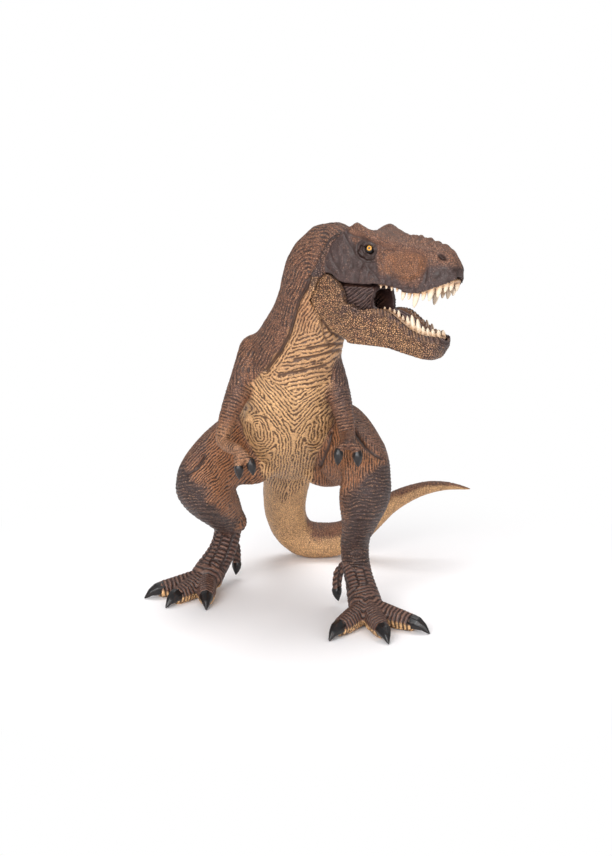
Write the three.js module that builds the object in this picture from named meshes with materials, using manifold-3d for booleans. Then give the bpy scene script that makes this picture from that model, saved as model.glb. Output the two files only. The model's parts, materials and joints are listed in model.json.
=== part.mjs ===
// Toy dinosaur figure: a moulded, hand-painted two-legged meat eater that stands on both
// feet and its tail, with its head turned to its left and a lower jaw that swings on a pin.
// Millimetres, +Z up. The figure faces -Y, and its left is +X.
import * as THREE from "three";
import { mergeVertices } from "three/addons/utils/BufferGeometryUtils.js";
import Module from "manifold-3d";

const wasm = await Module();
wasm.setup();

// Driving dimensions.
const SEAT_GAP = 0.3; // glue line between two moulded pieces
const SWING_GAP = 0.45; // running clearance round the moving jaw
const OVERRUN = 40; // how far a cutting shape runs past what it cuts

const BODY_RISE = 80; // hip to the end of the neck
const BODY_REACH = 84; // front plane to the tail joint
const BODY_WIDTH = 45;
const BODY_DEPTH = 48; // belly to back
const NECK_SWING = 25; // how far the neck's end lies to the left

const STANCE_WIDTH = 100; // across the ankles and toes
const STRIDE = 60; // front plane to the rear ankle
const LEG_HEIGHT = 80; // ground to the hip
const THIGH_WIDTH = 25;
const THIGH_DEPTH = 38;
const SHIN_WIDTH = 23;
const SHIN_DEPTH = 24;
const FOOT_HEIGHT = 28; // ground to the ankle
const FOOT_WIDTH = 17; // across the pad where the toes meet
const TOE_REACH = 30; // toe root to claw tip
const TOE_WIDTH = 9.6;
const TOE_CLAW_LENGTH = 9;
const TOE_CLAW_WIDTH = 5.2;
const TOE_CLAW_RISE = 4.2; // ground to the middle of the claw's root
const CLAW_TIP_RISE = 0.5; // the foot stands on its pads, so its claws stay just off the ground
const HALLUX_CLAW_LENGTH = 5;
const HALLUX_CLAW_WIDTH = 3.2;
const HALLUX_WIDTH = 4.8; // the small raised toe at the back of the foot
const HALLUX_DROP = 22;
const RIGHT_HALLUX_TURN = 152; // degrees outward from straight ahead
const LEFT_HALLUX_TURN = -115;
const ANKLE_SEAM_RISE = 4; // from the ankle up the shin to where the foot is parted
const ANKLE_PEG_RADIUS = 3;
const ANKLE_PEG_LENGTH = 12;

const TAIL_SPAN = 85; // body's middle to the tail's tip, sideways
const TAIL_REACH = 110; // front plane to where the tail touches the ground
const TAIL_DROP = 16; // hip down to the tail's root
const TAIL_WIDTH = 24; // at the root

const ARM_RISE = 30; // hip to the shoulder
const ARM_SPREAD = 28; // body's middle to the elbow
const ARM_REACH = 22; // front plane to the shoulder
const ARM_WIDTH = 13; // at the shoulder
const FINGER_WIDTH = 4.2;
const FINGER_CLAW_LENGTH = 5.2;
const FINGER_CLAW_WIDTH = 2.8;

const SKULL_LENGTH = 61; // jaw pin to snout tip
const SKULL_WIDTH = 27;
const SKULL_HEIGHT = 30; // jaw pin to the top of the snout
const LIP_WALL = 0.7;
const HEAD_TURN = 36; // degrees, from square across the body
const HEAD_ROLL = 6; // degrees
const NECK_SEAT_FORWARD = 5.4; // jaw pin to the end of the neck
const NECK_SEAT_UP = 20;
const NECK_PEG_RADIUS = 5;

const JAW_LENGTH = 58; // jaw pin to chin tip
const JAW_WIDTH = 26;
const JAW_DEPTH = 19; // jaw pin to the chin's underside
const JAW_PLATE_RADIUS = 12.4; // round rear corner of the jaw, about the pin
const JAW_REAR_ANGLE = 144; // degrees, from straight ahead to the end of the round corner
const JAW_RIM_TOP = 0.9; // jaw pin up to the highest the rim stands in front of the plates
const JAW_CLOSE = 10; // degrees, mouth shutting
const JAW_OPEN = 2; // degrees, mouth opening further
const PIN_RADIUS = 1.5;
const PIN_LENGTH = 22.4;

const CHEEK_LENGTH = 24; // jaw pin to the corner of the mouth
const CHEEK_WIDTH = 19.1;
const CHEEK_HEIGHT = 9.5;
const CHEEK_WALL = 2;
const CHEEK_TAPER = 0.84; // share of its width that the lining keeps at the corner of the mouth

const EYE_RADIUS = 2.1;
const SOCKET_LENGTH = 9.6; // hollow round the eye
const SOCKET_HEIGHT = 7.6;
const SOCKET_DEPTH = 1.5;
const TOOTH_LENGTH = 5.4; // the longest tooth, from its gum
const TOOTH_WIDTH = 2.4;
const GUM_WIDTH = 2.8;
const GUM_DEPTH = 2.2;
const TONGUE_WIDTH = 7;
const TONGUE_DEPTH = 3;

// How finely the surfaces are stepped.
const BODY_SIDES = 22;
const LIMB_SIDES = 14;
const ARM_SIDES = 10;
const SMALL_SIDES = 8;
const CLAW_SIDES = 7;
const GUM_SIDES = 6;
const TOOTH_SIDES = 5;
const TOOTH_TIP_SHARE = 0.25; // of the tooth's width at its gum
// Powers that set how square a section is.
const ROUND = 2;
const BOXY = 4;

const Y_AXIS = new THREE.Vector3(0, 1, 0);
const Z_AXIS = new THREE.Vector3(0, 0, 1);

const skins = {
  hide: new THREE.MeshStandardMaterial({ color: "#8a6440", roughness: 0.62, metalness: 0 }),
  belly: new THREE.MeshStandardMaterial({ color: "#b98d55", roughness: 0.6, metalness: 0 }),
  mask: new THREE.MeshStandardMaterial({ color: "#6a4a36", roughness: 0.6, metalness: 0 }),
  claw: new THREE.MeshStandardMaterial({ color: "#1d1b1c", roughness: 0.3, metalness: 0 }),
  tooth: new THREE.MeshStandardMaterial({ color: "#ead9bf", roughness: 0.35, metalness: 0 }),
  mouth: new THREE.MeshStandardMaterial({ color: "#3a2425", roughness: 0.45, metalness: 0 }),
  tongue: new THREE.MeshStandardMaterial({ color: "#6d4a44", roughness: 0.3, metalness: 0 }),
  eye: new THREE.MeshStandardMaterial({ color: "#c98a2a", roughness: 0.12, metalness: 0 }),
  steel: new THREE.MeshStandardMaterial({ color: "#9a9a9a", roughness: 0.35, metalness: 1 }),
};

// A closed geometry as a solid that can be joined and cut.
function solidOf(geometry) {
  const bare = geometry.clone();
  bare.deleteAttribute("normal");
  bare.deleteAttribute("uv");
  const merged = mergeVertices(bare);
  const made = new wasm.Manifold(
    new wasm.Mesh({
      numProp: 3,
      vertProperties: new Float32Array(merged.attributes.position.array),
      triVerts: new Uint32Array(merged.index.array),
    }),
  );
  return made;
}

function geometryOf(solid) {
  const mesh = solid.getMesh();
  const geometry = new THREE.BufferGeometry();
  geometry.setAttribute("position", new THREE.BufferAttribute(mesh.vertProperties, 3));
  geometry.setIndex(new THREE.BufferAttribute(mesh.triVerts, 1));
  geometry.computeVertexNormals();
  return geometry;
}

function joined(first, ...others) {
  return geometryOf(others.reduce((sum, next) => sum.add(solidOf(next)), solidOf(first)));
}

function cut(first, ...others) {
  return geometryOf(others.reduce((rest, next) => rest.subtract(solidOf(next)), solidOf(first)));
}

function common(first, second) {
  return geometryOf(solidOf(first).intersect(solidOf(second)));
}

// One ring of a limb: its centre, its half width and half depth, and which way its depth points.
function ring(place, halfWidth, halfDepth, up = Z_AXIS) {
  return { place, halfWidth, halfDepth, up };
}

// Rings from a table of shares: rows of [side, back, height, width, depth], times the sizes.
// Heights are measured up from the reach's base.
function ringsFrom(shares, reach, girth, up) {
  return shares.map(([side, back, height, width, depth]) =>
    ring(
      new THREE.Vector3(side * reach.side, back * reach.back, reach.base + height * reach.height),
      (width * girth.width) / 2,
      (depth * girth.depth) / 2,
      up,
    ),
  );
}

// A closed skin over rings of points. The last two points are the poles that close its ends.
function skinOf(positions, rings, sides) {
  const index = [];
  const pole = rings * sides;
  const end = pole - sides;
  for (let i = 0; i < sides; i += 1) {
    const next = (i + 1) % sides;
    index.push(pole, i, next, pole + 1, end + next, end + i);
    for (let a = 0; a < end; a += sides) {
      const b = a + sides;
      index.push(a + i, b + i, b + next, a + i, b + next, a + next);
    }
  }
  const geometry = new THREE.BufferGeometry();
  geometry.setAttribute("position", new THREE.BufferAttribute(new Float32Array(positions), 3));
  geometry.setIndex(index);
  return geometry;
}

// How far round a rounded end each of its rings sits, in degrees.
const roundEnd = [35, 65];
const bluntEnd = [45];

// A closed skin through rings, smooth along its length, with rounded ends.
// grow swells it evenly, square sets its section between round and boxy, and first and last are how
// far each end stands out, as a share of its radius.
function limb(rings, options = {}) {
  const { sides = LIMB_SIDES, steps = 3, grow = 0, square = ROUND } = options;
  const { first = 0.7, last = 0.7, ends = bluntEnd } = options;
  const path = new THREE.CatmullRomCurve3(rings.map((r) => r.place));
  const girths = new THREE.CatmullRomCurve3(rings.map((r) => new THREE.Vector3(r.halfWidth, r.halfDepth)));
  const spans = (rings.length - 1) * steps;
  const positions = [];
  const boxed = (value) => Math.sign(value) * Math.abs(value) ** (2 / square);
  const addRing = (t, shrink, slide) => {
    const girth = girths.getPoint(t);
    const forward = path.getTangent(t);
    const at = t * (rings.length - 1);
    const low = Math.min(Math.floor(at), rings.length - 2);
    const up = rings[low].up.clone().lerp(rings[low + 1].up, at - low);
    const side = forward.clone().cross(up).normalize();
    const depth = side.clone().cross(forward).normalize();
    const centre = path.getPoint(t).addScaledVector(forward, slide);
    for (let i = 0; i < sides; i += 1) {
      const angle = (i / sides) * 2 * Math.PI;
      const point = centre
        .clone()
        .addScaledVector(side, boxed(Math.cos(angle)) * (girth.x + grow) * shrink)
        .addScaledVector(depth, boxed(Math.sin(angle)) * (girth.y + grow) * shrink);
      positions.push(point.x, point.y, point.z);
    }
  };
  const radiusAt = (t) => Math.min(girths.getPoint(t).x, girths.getPoint(t).y) + grow;
  const firstReach = first * radiusAt(0);
  const lastReach = last * radiusAt(1);
  const angles = ends.map((degrees) => THREE.MathUtils.degToRad(degrees));
  angles.toReversed().forEach((a) => addRing(0, Math.cos(a), -Math.sin(a) * firstReach));
  for (let i = 0; i <= spans; i += 1) addRing(i / spans, 1, 0);
  angles.forEach((a) => addRing(1, Math.cos(a), Math.sin(a) * lastReach));
  const start = path.getPoint(0).addScaledVector(path.getTangent(0), -firstReach);
  const finish = path.getPoint(1).addScaledVector(path.getTangent(1), lastReach);
  positions.push(start.x, start.y, start.z, finish.x, finish.y, finish.z);
  return skinOf(positions, spans + 1 + 2 * ends.length, sides);
}

// A straight round bar between two places.
function bar(from, to, radius, sides = SMALL_SIDES) {
  const middle = from.clone().lerp(to, 0.5);
  const turn = new THREE.Quaternion().setFromUnitVectors(Y_AXIS, to.clone().sub(from).normalize());
  const made = new THREE.CylinderGeometry(radius, radius, from.distanceTo(to), sides);
  return made.applyQuaternion(turn).translate(middle.x, middle.y, middle.z);
}

// A block that fills the side of a plane that its normal points to, starting at a gap from it.
function beyond(place, normal, gap) {
  const turn = new THREE.Quaternion().setFromUnitVectors(Z_AXIS, normal);
  const centre = place.clone().addScaledVector(normal, gap + OVERRUN);
  const block = new THREE.BoxGeometry(2 * OVERRUN, 2 * OVERRUN, 2 * OVERRUN);
  return block.applyQuaternion(turn).translate(centre.x, centre.y, centre.z);
}

function ellipsoid(place, size, sides = SMALL_SIDES) {
  const geometry = new THREE.SphereGeometry(1, sides, sides / 2);
  return geometry.scale(size.x, size.y, size.z).translate(place.x, place.y, place.z);
}

function moved(geometry, matrix) {
  return geometry.clone().applyMatrix4(matrix);
}

// Everything under the ground plane, to cut soles flat.
function ground() {
  const size = 2 * TAIL_REACH + 2 * OVERRUN;
  return new THREE.BoxGeometry(2 * size, 2 * size, OVERRUN).translate(0, 0, -OVERRUN / 2);
}

// Body, from the pelvis up to the end of the neck.
const bodyShares = [
  [0, 1, -0.3, 0.53, 0.54],
  [0, 0.86, -0.18, 0.8, 0.79],
  [0, 0.67, -0.04, 0.93, 0.96],
  [0, 0.48, 0.12, 1, 1],
  [0, 0.32, 0.3, 0.96, 0.92],
  [0.13, 0.21, 0.46, 0.84, 0.79],
  [0.31, 0.14, 0.62, 0.72, 0.7],
  [0.42, 0.1, 0.76, 0.64, 0.66],
  [0.5, 0.06, 0.89, 0.6, 0.66],
  [0.72, 0.035, 0.99, 0.56, 0.63],
  [1, 0, 1.01, 0.45, 0.5],
];
// Which way the back faces at each ring: it turns with the head.
const backFacingShares = [
  [0, 1, 0.6],
  [0, 1, 0.6],
  [0, 1, 0.6],
  [0, 1, 0.5],
  [0, 1, 0.5],
  [-0.15, 1, 0.3],
  [-0.35, 0.9, 0.3],
  [-0.5, 0.75, 0.4],
  [-0.6, 0.5, 0.6],
  [-0.4, 0.3, 0.85],
  [0, 0, 1],
];
const bodyReach = { side: NECK_SWING, back: BODY_REACH, base: LEG_HEIGHT, height: BODY_RISE };
const bodyGirth = { width: BODY_WIDTH, depth: BODY_DEPTH };
const bodyRings = ringsFrom(bodyShares, bodyReach, bodyGirth).map((r, i) => ({
  ...r,
  up: new THREE.Vector3(...backFacingShares[i]).normalize(),
}));
const neckEnd = bodyRings[bodyRings.length - 1].place;

// Legs. Places are shares of the stance's width, the stride and the rise from ankle to hip.
const legReach = {
  side: STANCE_WIDTH / 2,
  back: STRIDE,
  base: FOOT_HEIGHT,
  height: LEG_HEIGHT - FOOT_HEIGHT,
};
const thighGirth = { width: THIGH_WIDTH, depth: THIGH_DEPTH };
const shinGirth = { width: SHIN_WIDTH, depth: SHIN_DEPTH };
const rightThighShares = [
  [-0.27, 0.96, 0.835, 0.84, 0.88],
  [-0.42, 0.9, 0.777, 0.96, 0.92],
  [-0.6, 0.73, 0.692, 1, 0.84],
  [-0.73, 0.58, 0.615, 0.92, 0.68],
  [-0.8, 0.48, 0.546, 0.82, 0.56],
];
const rightShinShares = [
  [-0.79, 0.48, 0.538, 0.91, 0.9],
  [-0.73, 0.63, 0.431, 1, 1],
  [-0.66, 0.82, 0.292, 0.93, 0.9],
  [-0.59, 1, 0.123, 0.72, 0.7],
  [-0.565, 1.12, -0.008, 0.56, 0.58],
];
const leftThighShares = [
  [0.22, 0.97, 0.846, 0.84, 0.95],
  [0.36, 0.83, 0.846, 0.98, 1.02],
  [0.5, 0.6, 0.8, 0.98, 0.93],
  [0.62, 0.34, 0.785, 0.9, 0.71],
  [0.66, 0.15, 0.723, 0.8, 0.58],
];
const leftShinShares = [
  [0.66, 0.15, 0.7, 0.89, 0.92],
  [0.64, 0.22, 0.554, 0.97, 1],
  [0.62, 0.32, 0.4, 0.85, 0.9],
  [0.6, 0.41, 0.246, 0.67, 0.7],
  [0.575, 0.5, 0.108, 0.57, 0.59],
  [0.565, 0.55, 0.015, 0.55, 0.56],
];

// Feet. Places are shares of the stance's width, the stride and the foot's height.
const footReach = { side: STANCE_WIDTH / 2, back: STRIDE, base: 0, height: FOOT_HEIGHT };
const footGirth = { width: FOOT_WIDTH, depth: FOOT_WIDTH };
const rightSoleShares = [
  [-0.575, 1.1, 0.8, 0.72, 0.72],
  [-0.62, 1.04, 0.58, 0.74, 0.66],
  [-0.69, 0.98, 0.4, 0.8, 0.7],
  [-0.75, 0.91, 0.24, 0.88, 0.88],
];
const leftSoleShares = [
  [0.57, 0.5, 0.8, 0.72, 0.72],
  [0.595, 0.4, 0.58, 0.74, 0.66],
  [0.625, 0.3, 0.4, 0.82, 0.7],
  [0.655, 0.2, 0.24, 0.88, 0.88],
];

// A toe slopes from its root to its claw, its underside flat on the ground: rows of
// [along, height, width, depth], the heights and girths as shares of the toe's width.
const toeShares = [
  [-0.05, 0.62, 0.96, 1.34],
  [0.3, 0.5, 0.94, 1.14],
  [0.56, 0.42, 0.9, 0.96],
  [0.73, 0.38, 0.74, 0.84],
];
// A claw curves down from the toe's end: rows of [along, height, girth].
const clawShares = [
  [-0.3, 0.95, 0.86],
  [0.05, 1.0, 1.0],
  [0.35, 0.92, 0.84],
  [0.68, 0.62, 0.5],
  [1.0, 0.02, 0.12],
];
const halluxShares = [
  [0.2, 0.1, 0.9],
  [0.37, 0.34, 1.0],
  [0.4, 0.68, 0.86],
];
const DOWN = new THREE.Vector3(0, 0, -1);
const thighUp = new THREE.Vector3(0, -0.5, 1).normalize();
const shinUp = new THREE.Vector3(0, -1, 0.4).normalize();
const soleUp = new THREE.Vector3(0, -1, 0.8).normalize();

// Unit vector along the ground, in degrees outward from straight ahead.
function heading(degrees) {
  return new THREE.Vector3(0, -1, 0).applyAxisAngle(Z_AXIS, THREE.MathUtils.degToRad(degrees));
}

function toeRings(root, direction, reach) {
  return toeShares.map(([along, height, width, depth]) =>
    ring(
      new THREE.Vector3(root.x, root.y, height * TOE_WIDTH).addScaledVector(direction, along * reach),
      (width * TOE_WIDTH) / 2,
      (depth * TOE_WIDTH) / 2,
    ),
  );
}

// Rings of a curved claw from its root, which lies inside what carries it, to its point.
function clawRings(root, forward, down, { length, width, drop }) {
  return clawShares.map(([along, height, girth]) => {
    const place = root.clone().addScaledVector(forward, along * length);
    const half = (girth * width) / 2;
    return ring(place.addScaledVector(down, (1 - height) * drop), half, half, down.clone().negate());
  });
}
const clawForm = (rings, grow) => limb(rings, { sides: CLAW_SIDES, steps: 1, grow, last: 1 });

// A lower leg runs on into its foot in one smooth skin, parted square across above the ankle.
function lowerLeg(shinShares, soleShares) {
  const shin = ringsFrom(shinShares, legReach, shinGirth, shinUp);
  const sole = ringsFrom(soleShares, footReach, footGirth, soleUp);
  const ankle = shin[shin.length - 1].place;
  const along = sole[0].place.clone().sub(shin[shin.length - 2].place).normalize();
  const seam = ankle.clone().addScaledVector(along, -ANKLE_SEAM_RISE);
  const pegTop = seam.clone().addScaledVector(along, -ANKLE_PEG_LENGTH / 2);
  const pegFoot = seam.clone().addScaledVector(along, ANKLE_PEG_LENGTH / 2);
  return {
    sole,
    root: sole[sole.length - 1].place,
    form: (grow) => limb([...shin, ...sole], { grow, steps: 2 }),
    peg: (grow) => bar(pegTop.clone().addScaledVector(along, -grow), pegFoot, ANKLE_PEG_RADIUS + grow),
    under: beyond(seam, along, 0),
    over: beyond(seam, along.clone().negate(), -SEAT_GAP),
  };
}

// The small raised toe behind the foot, and its claw.
function makeHallux(sole, turn, claws) {
  const top = sole[0].place;
  const outward = heading(turn);
  const rings = halluxShares.map(([along, drop, girth]) => {
    const place = top.clone().addScaledVector(outward, along * HALLUX_DROP);
    const half = (girth * HALLUX_WIDTH) / 2;
    return ring(place.addScaledVector(DOWN, drop * HALLUX_DROP), half, half, outward);
  });
  const root = rings[rings.length - 1].place;
  const size = { length: HALLUX_CLAW_LENGTH, width: HALLUX_CLAW_WIDTH, drop: HALLUX_CLAW_WIDTH / 4 };
  claws.hallux = (grow) => clawForm(clawRings(root, DOWN, outward.clone().negate(), size), grow);
  return limb(rings, { sides: SMALL_SIDES, steps: 2 });
}

// One foot: the instep and three toes in one moulding, the small rear toe, and four claws.
function makeFoot(leg, toes, halluxTurn) {
  const claws = {};
  const parts = toes.map(({ name, turn, reachShare }) => {
    const direction = heading(turn);
    const reach = reachShare * TOE_REACH;
    const root = new THREE.Vector3(leg.root.x, leg.root.y, TOE_CLAW_RISE);
    root.addScaledVector(direction, reach - TOE_CLAW_LENGTH);
    const size = { length: TOE_CLAW_LENGTH, width: TOE_CLAW_WIDTH, drop: TOE_CLAW_RISE - CLAW_TIP_RISE };
    claws[name] = (grow) => clawForm(clawRings(root, direction, DOWN, size), grow);
    return limb(toeRings(leg.root, direction, reach), { sides: SMALL_SIDES, steps: 2 });
  });
  parts.push(makeHallux(leg.sole, halluxTurn, claws));
  const sockets = Object.values(claws).map((claw) => claw(SEAT_GAP));
  const whole = cut(joined(leg.form(0), ...parts), leg.over, ground(), ...sockets);
  return { foot: joined(whole, leg.peg(0)), claws };
}

const rightLowerLeg = lowerLeg(rightShinShares, rightSoleShares);
const leftLowerLeg = lowerLeg(leftShinShares, leftSoleShares);
const rightFoot = makeFoot(
  rightLowerLeg,
  [
    { name: "outer_toe", turn: -68, reachShare: 0.97 },
    { name: "middle_toe", turn: -34, reachShare: 1.0 },
    { name: "inner_toe", turn: 2, reachShare: 0.93 },
  ],
  RIGHT_HALLUX_TURN,
);
const leftFoot = makeFoot(
  leftLowerLeg,
  [
    { name: "outer_toe", turn: 55, reachShare: 1.07 },
    { name: "middle_toe", turn: 15, reachShare: 1.1 },
    { name: "inner_toe", turn: -30, reachShare: 1.07 },
  ],
  LEFT_HALLUX_TURN,
);

const rightThigh = ringsFrom(rightThighShares, legReach, thighGirth, thighUp);
const leftThigh = ringsFrom(leftThighShares, legReach, thighGirth, thighUp);
const thighForm = (rings, grow) => limb(rings, { grow, steps: 2, first: 0.5 });

// Thigh and shin in one moulding, hollowed at the ankle for the peg of the foot.
function makeLeg(thigh, lower) {
  const shin = cut(lower.form(0), lower.under, lower.peg(SEAT_GAP));
  return cut(joined(thighForm(thigh, 0), shin), tailForm(SEAT_GAP));
}

// Tail: down and back to the ground, then round to the left and up.
const tailShares = [
  [0, 0.675, 0.98, 1, 1.04],
  [-0.006, 0.765, 0.83, 0.96, 1.0],
  [-0.024, 0.855, 0.64, 0.9, 0.92],
  [-0.035, 0.92, 0.45, 0.83, 0.83],
  [-0.012, 0.975, 0.27, 0.775, 0.775],
  [0.06, 1.0, 0.15, 0.74, 0.74],
  [0.165, 1.005, 0.127, 0.715, 0.715],
  [0.28, 0.99, 0.155, 0.66, 0.66],
  [0.4, 0.975, 0.26, 0.55, 0.55],
  [0.53, 0.955, 0.42, 0.42, 0.42],
  [0.665, 0.945, 0.52, 0.32, 0.32],
  [0.78, 0.935, 0.567, 0.25, 0.25],
  [0.88, 0.93, 0.572, 0.175, 0.175],
  [0.98, 0.92, 0.555, 0.09, 0.09],
];
const tailReach = { side: TAIL_SPAN, back: TAIL_REACH, base: 0, height: LEG_HEIGHT - TAIL_DROP };
const tailGirth = { width: TAIL_WIDTH, depth: TAIL_WIDTH };
const tailRings = ringsFrom(tailShares, tailReach, tailGirth, new THREE.Vector3(0, 1, 0.2));
const tailForm = (grow) => limb(tailRings, { grow, steps: 2, last: 1 });

// Arms: shoulder to elbow, elbow to hand, and two clawed fingers.
const armReach = { side: ARM_SPREAD, back: ARM_REACH, base: LEG_HEIGHT, height: ARM_RISE };
const armGirth = { width: ARM_WIDTH, depth: ARM_WIDTH };
const fingerGirth = { width: FINGER_WIDTH, depth: FINGER_WIDTH };
const armUp = new THREE.Vector3(0, -1, 0.3).normalize();
const rightArmShares = {
  upper: [
    [-0.47, 0.95, 1.257, 1.25, 1.3],
    [-0.64, 0.76, 0.927, 1, 1.1],
    [-0.84, 0.54, 0.523, 0.72, 0.78],
    [-0.98, 0.38, 0.157, 0.53, 0.56],
    [-1, 0.33, 0.01, 0.48, 0.5],
  ],
  fore: [
    [-1, 0.34, 0.028, 0.46, 0.46],
    [-0.9, 0.1, -0.019, 0.42, 0.42],
    [-0.77, -0.12, -0.019, 0.42, 0.38],
  ],
  fingers: {
    outer: [
      [-0.77, -0.13, -0.027, 1, 1],
      [-0.755, -0.23, -0.144, 0.9, 0.9],
      [-0.745, -0.26, -0.247, 0.94, 0.94],
    ],
    inner: [
      [-0.73, -0.15, -0.027, 1, 1],
      [-0.63, -0.26, -0.111, 0.9, 0.9],
      [-0.565, -0.3, -0.184, 0.94, 0.94],
    ],
  },
};
const leftArmShares = {
  upper: [
    [0.47, 0.92, 1.183, 1.2, 1.3],
    [0.64, 0.72, 0.89, 0.98, 1.08],
    [0.79, 0.5, 0.487, 0.7, 0.76],
    [0.86, 0.39, 0.193, 0.56, 0.58],
    [0.875, 0.33, 0.083, 0.51, 0.52],
  ],
  fore: [
    [0.875, 0.33, 0.102, 0.49, 0.49],
    [0.875, 0, 0.083, 0.46, 0.44],
    [0.868, -0.27, 0.083, 0.6, 0.42],
  ],
  fingers: {
    inner: [
      [0.81, -0.3, 0.076, 1, 1],
      [0.745, -0.385, 0.028, 0.9, 0.9],
      [0.73, -0.41, -0.019, 0.94, 0.94],
    ],
    outer: [
      [0.93, -0.3, 0.076, 1, 1],
      [1, -0.385, 0.017, 0.9, 0.9],
      [1.01, -0.41, -0.045, 0.94, 0.94],
    ],
  },
};

// A claw hooks down and back from the end of its finger.
function fingerClaw(rings) {
  const root = rings[rings.length - 1].place;
  const forward = root.clone().sub(rings[rings.length - 2].place).normalize();
  const along = forward.lerp(DOWN, 0.7).normalize();
  const curl = new THREE.Vector3(0, 1, 0).addScaledVector(along, -along.y).normalize();
  const size = { length: FINGER_CLAW_LENGTH, width: FINGER_CLAW_WIDTH, drop: FINGER_CLAW_WIDTH / 3 };
  return (grow) => clawForm(clawRings(root, along, curl, size), grow);
}

function makeArm(shares) {
  const upper = ringsFrom(shares.upper, armReach, armGirth, armUp);
  const fore = ringsFrom(shares.fore, armReach, armGirth, Z_AXIS);
  const options = { sides: ARM_SIDES, steps: 2 };
  const shoulder = (grow) => limb(upper, { ...options, grow });
  const claws = {};
  const fingers = Object.entries(shares.fingers).map(([name, table]) => {
    const rings = ringsFrom(table, armReach, fingerGirth, Y_AXIS);
    claws[name] = fingerClaw(rings);
    return limb(rings, { sides: SMALL_SIDES, steps: 2, last: 0.5 });
  });
  const sockets = Object.values(claws).map((claw) => claw(SEAT_GAP));
  const hand = joined(limb(fore, options), ...fingers);
  return { arm: cut(joined(shoulder(0), hand), ...sockets), claws, shoulder };
}
const rightArm = makeArm(rightArmShares);
const leftArm = makeArm(leftArmShares);

// Head. Its own frame: the jaw pin at the origin, +X to the snout, +Y to the figure's left.
const headTurn = new THREE.Matrix4().makeRotationZ(-THREE.MathUtils.degToRad(HEAD_TURN));
headTurn.multiply(new THREE.Matrix4().makeRotationX(-THREE.MathUtils.degToRad(HEAD_ROLL)));
const neckSeat = new THREE.Vector3(NECK_SEAT_FORWARD, 0, NECK_SEAT_UP);
const headPlace = neckEnd.clone().sub(neckSeat.clone().applyMatrix4(headTurn));
const headFrame = new THREE.Matrix4().setPosition(headPlace).multiply(headTurn);

// Places along the head: 0 is the jaw pin, 1 the corner of the mouth and 2 the tip.
function alongHead(at, length) {
  return at < 1 ? at * CHEEK_LENGTH : CHEEK_LENGTH + (at - 1) * (length - CHEEK_LENGTH);
}

// A place on the left half of the head, from shares of its sizes.
function inHead([at, half, up], size) {
  return new THREE.Vector3(alongHead(at, size.length), (half * size.width) / 2, up * size.height);
}

// A closed skin through whole sections: rows of a place along the head and half an outline, from
// the bottom middle to the top middle, as [sideways, up]. The other half is its mirror image.
function sectioned(shares, size, grow = 0, steps = 2) {
  const stations = shares.map(({ at, points }) => points.map(([y, z]) => inHead([at, y, z], size)));
  const along = stations[0].map((_, i) => new THREE.CatmullRomCurve3(stations.map((points) => points[i])));
  const rings = (stations.length - 1) * steps + 1;
  const sides = 2 * (along.length - 1);
  const positions = [];
  const poles = [];
  for (let r = 0; r < rings; r += 1) {
    const half = along.map((curve) => curve.getPoint(r / (rings - 1)));
    const mirrored = half.map((p) => new THREE.Vector3(p.x, -p.y, p.z));
    const middle = half[0].clone().lerp(half[half.length - 1], 0.5);
    const slide = (Number(r === rings - 1) - Number(r === 0)) * grow;
    [...mirrored, ...half.slice(1, -1).toReversed()].forEach((point) => {
      const outward = point.clone().sub(middle).setX(0).normalize();
      point.addScaledVector(outward, grow);
      positions.push(point.x + slide, point.y, point.z);
    });
    if (r === 0 || r === rings - 1) {
      poles.push(middle.x + slide, middle.y, middle.z);
    }
  }
  return skinOf([...positions, ...poles], rings, sides);
}

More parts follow.
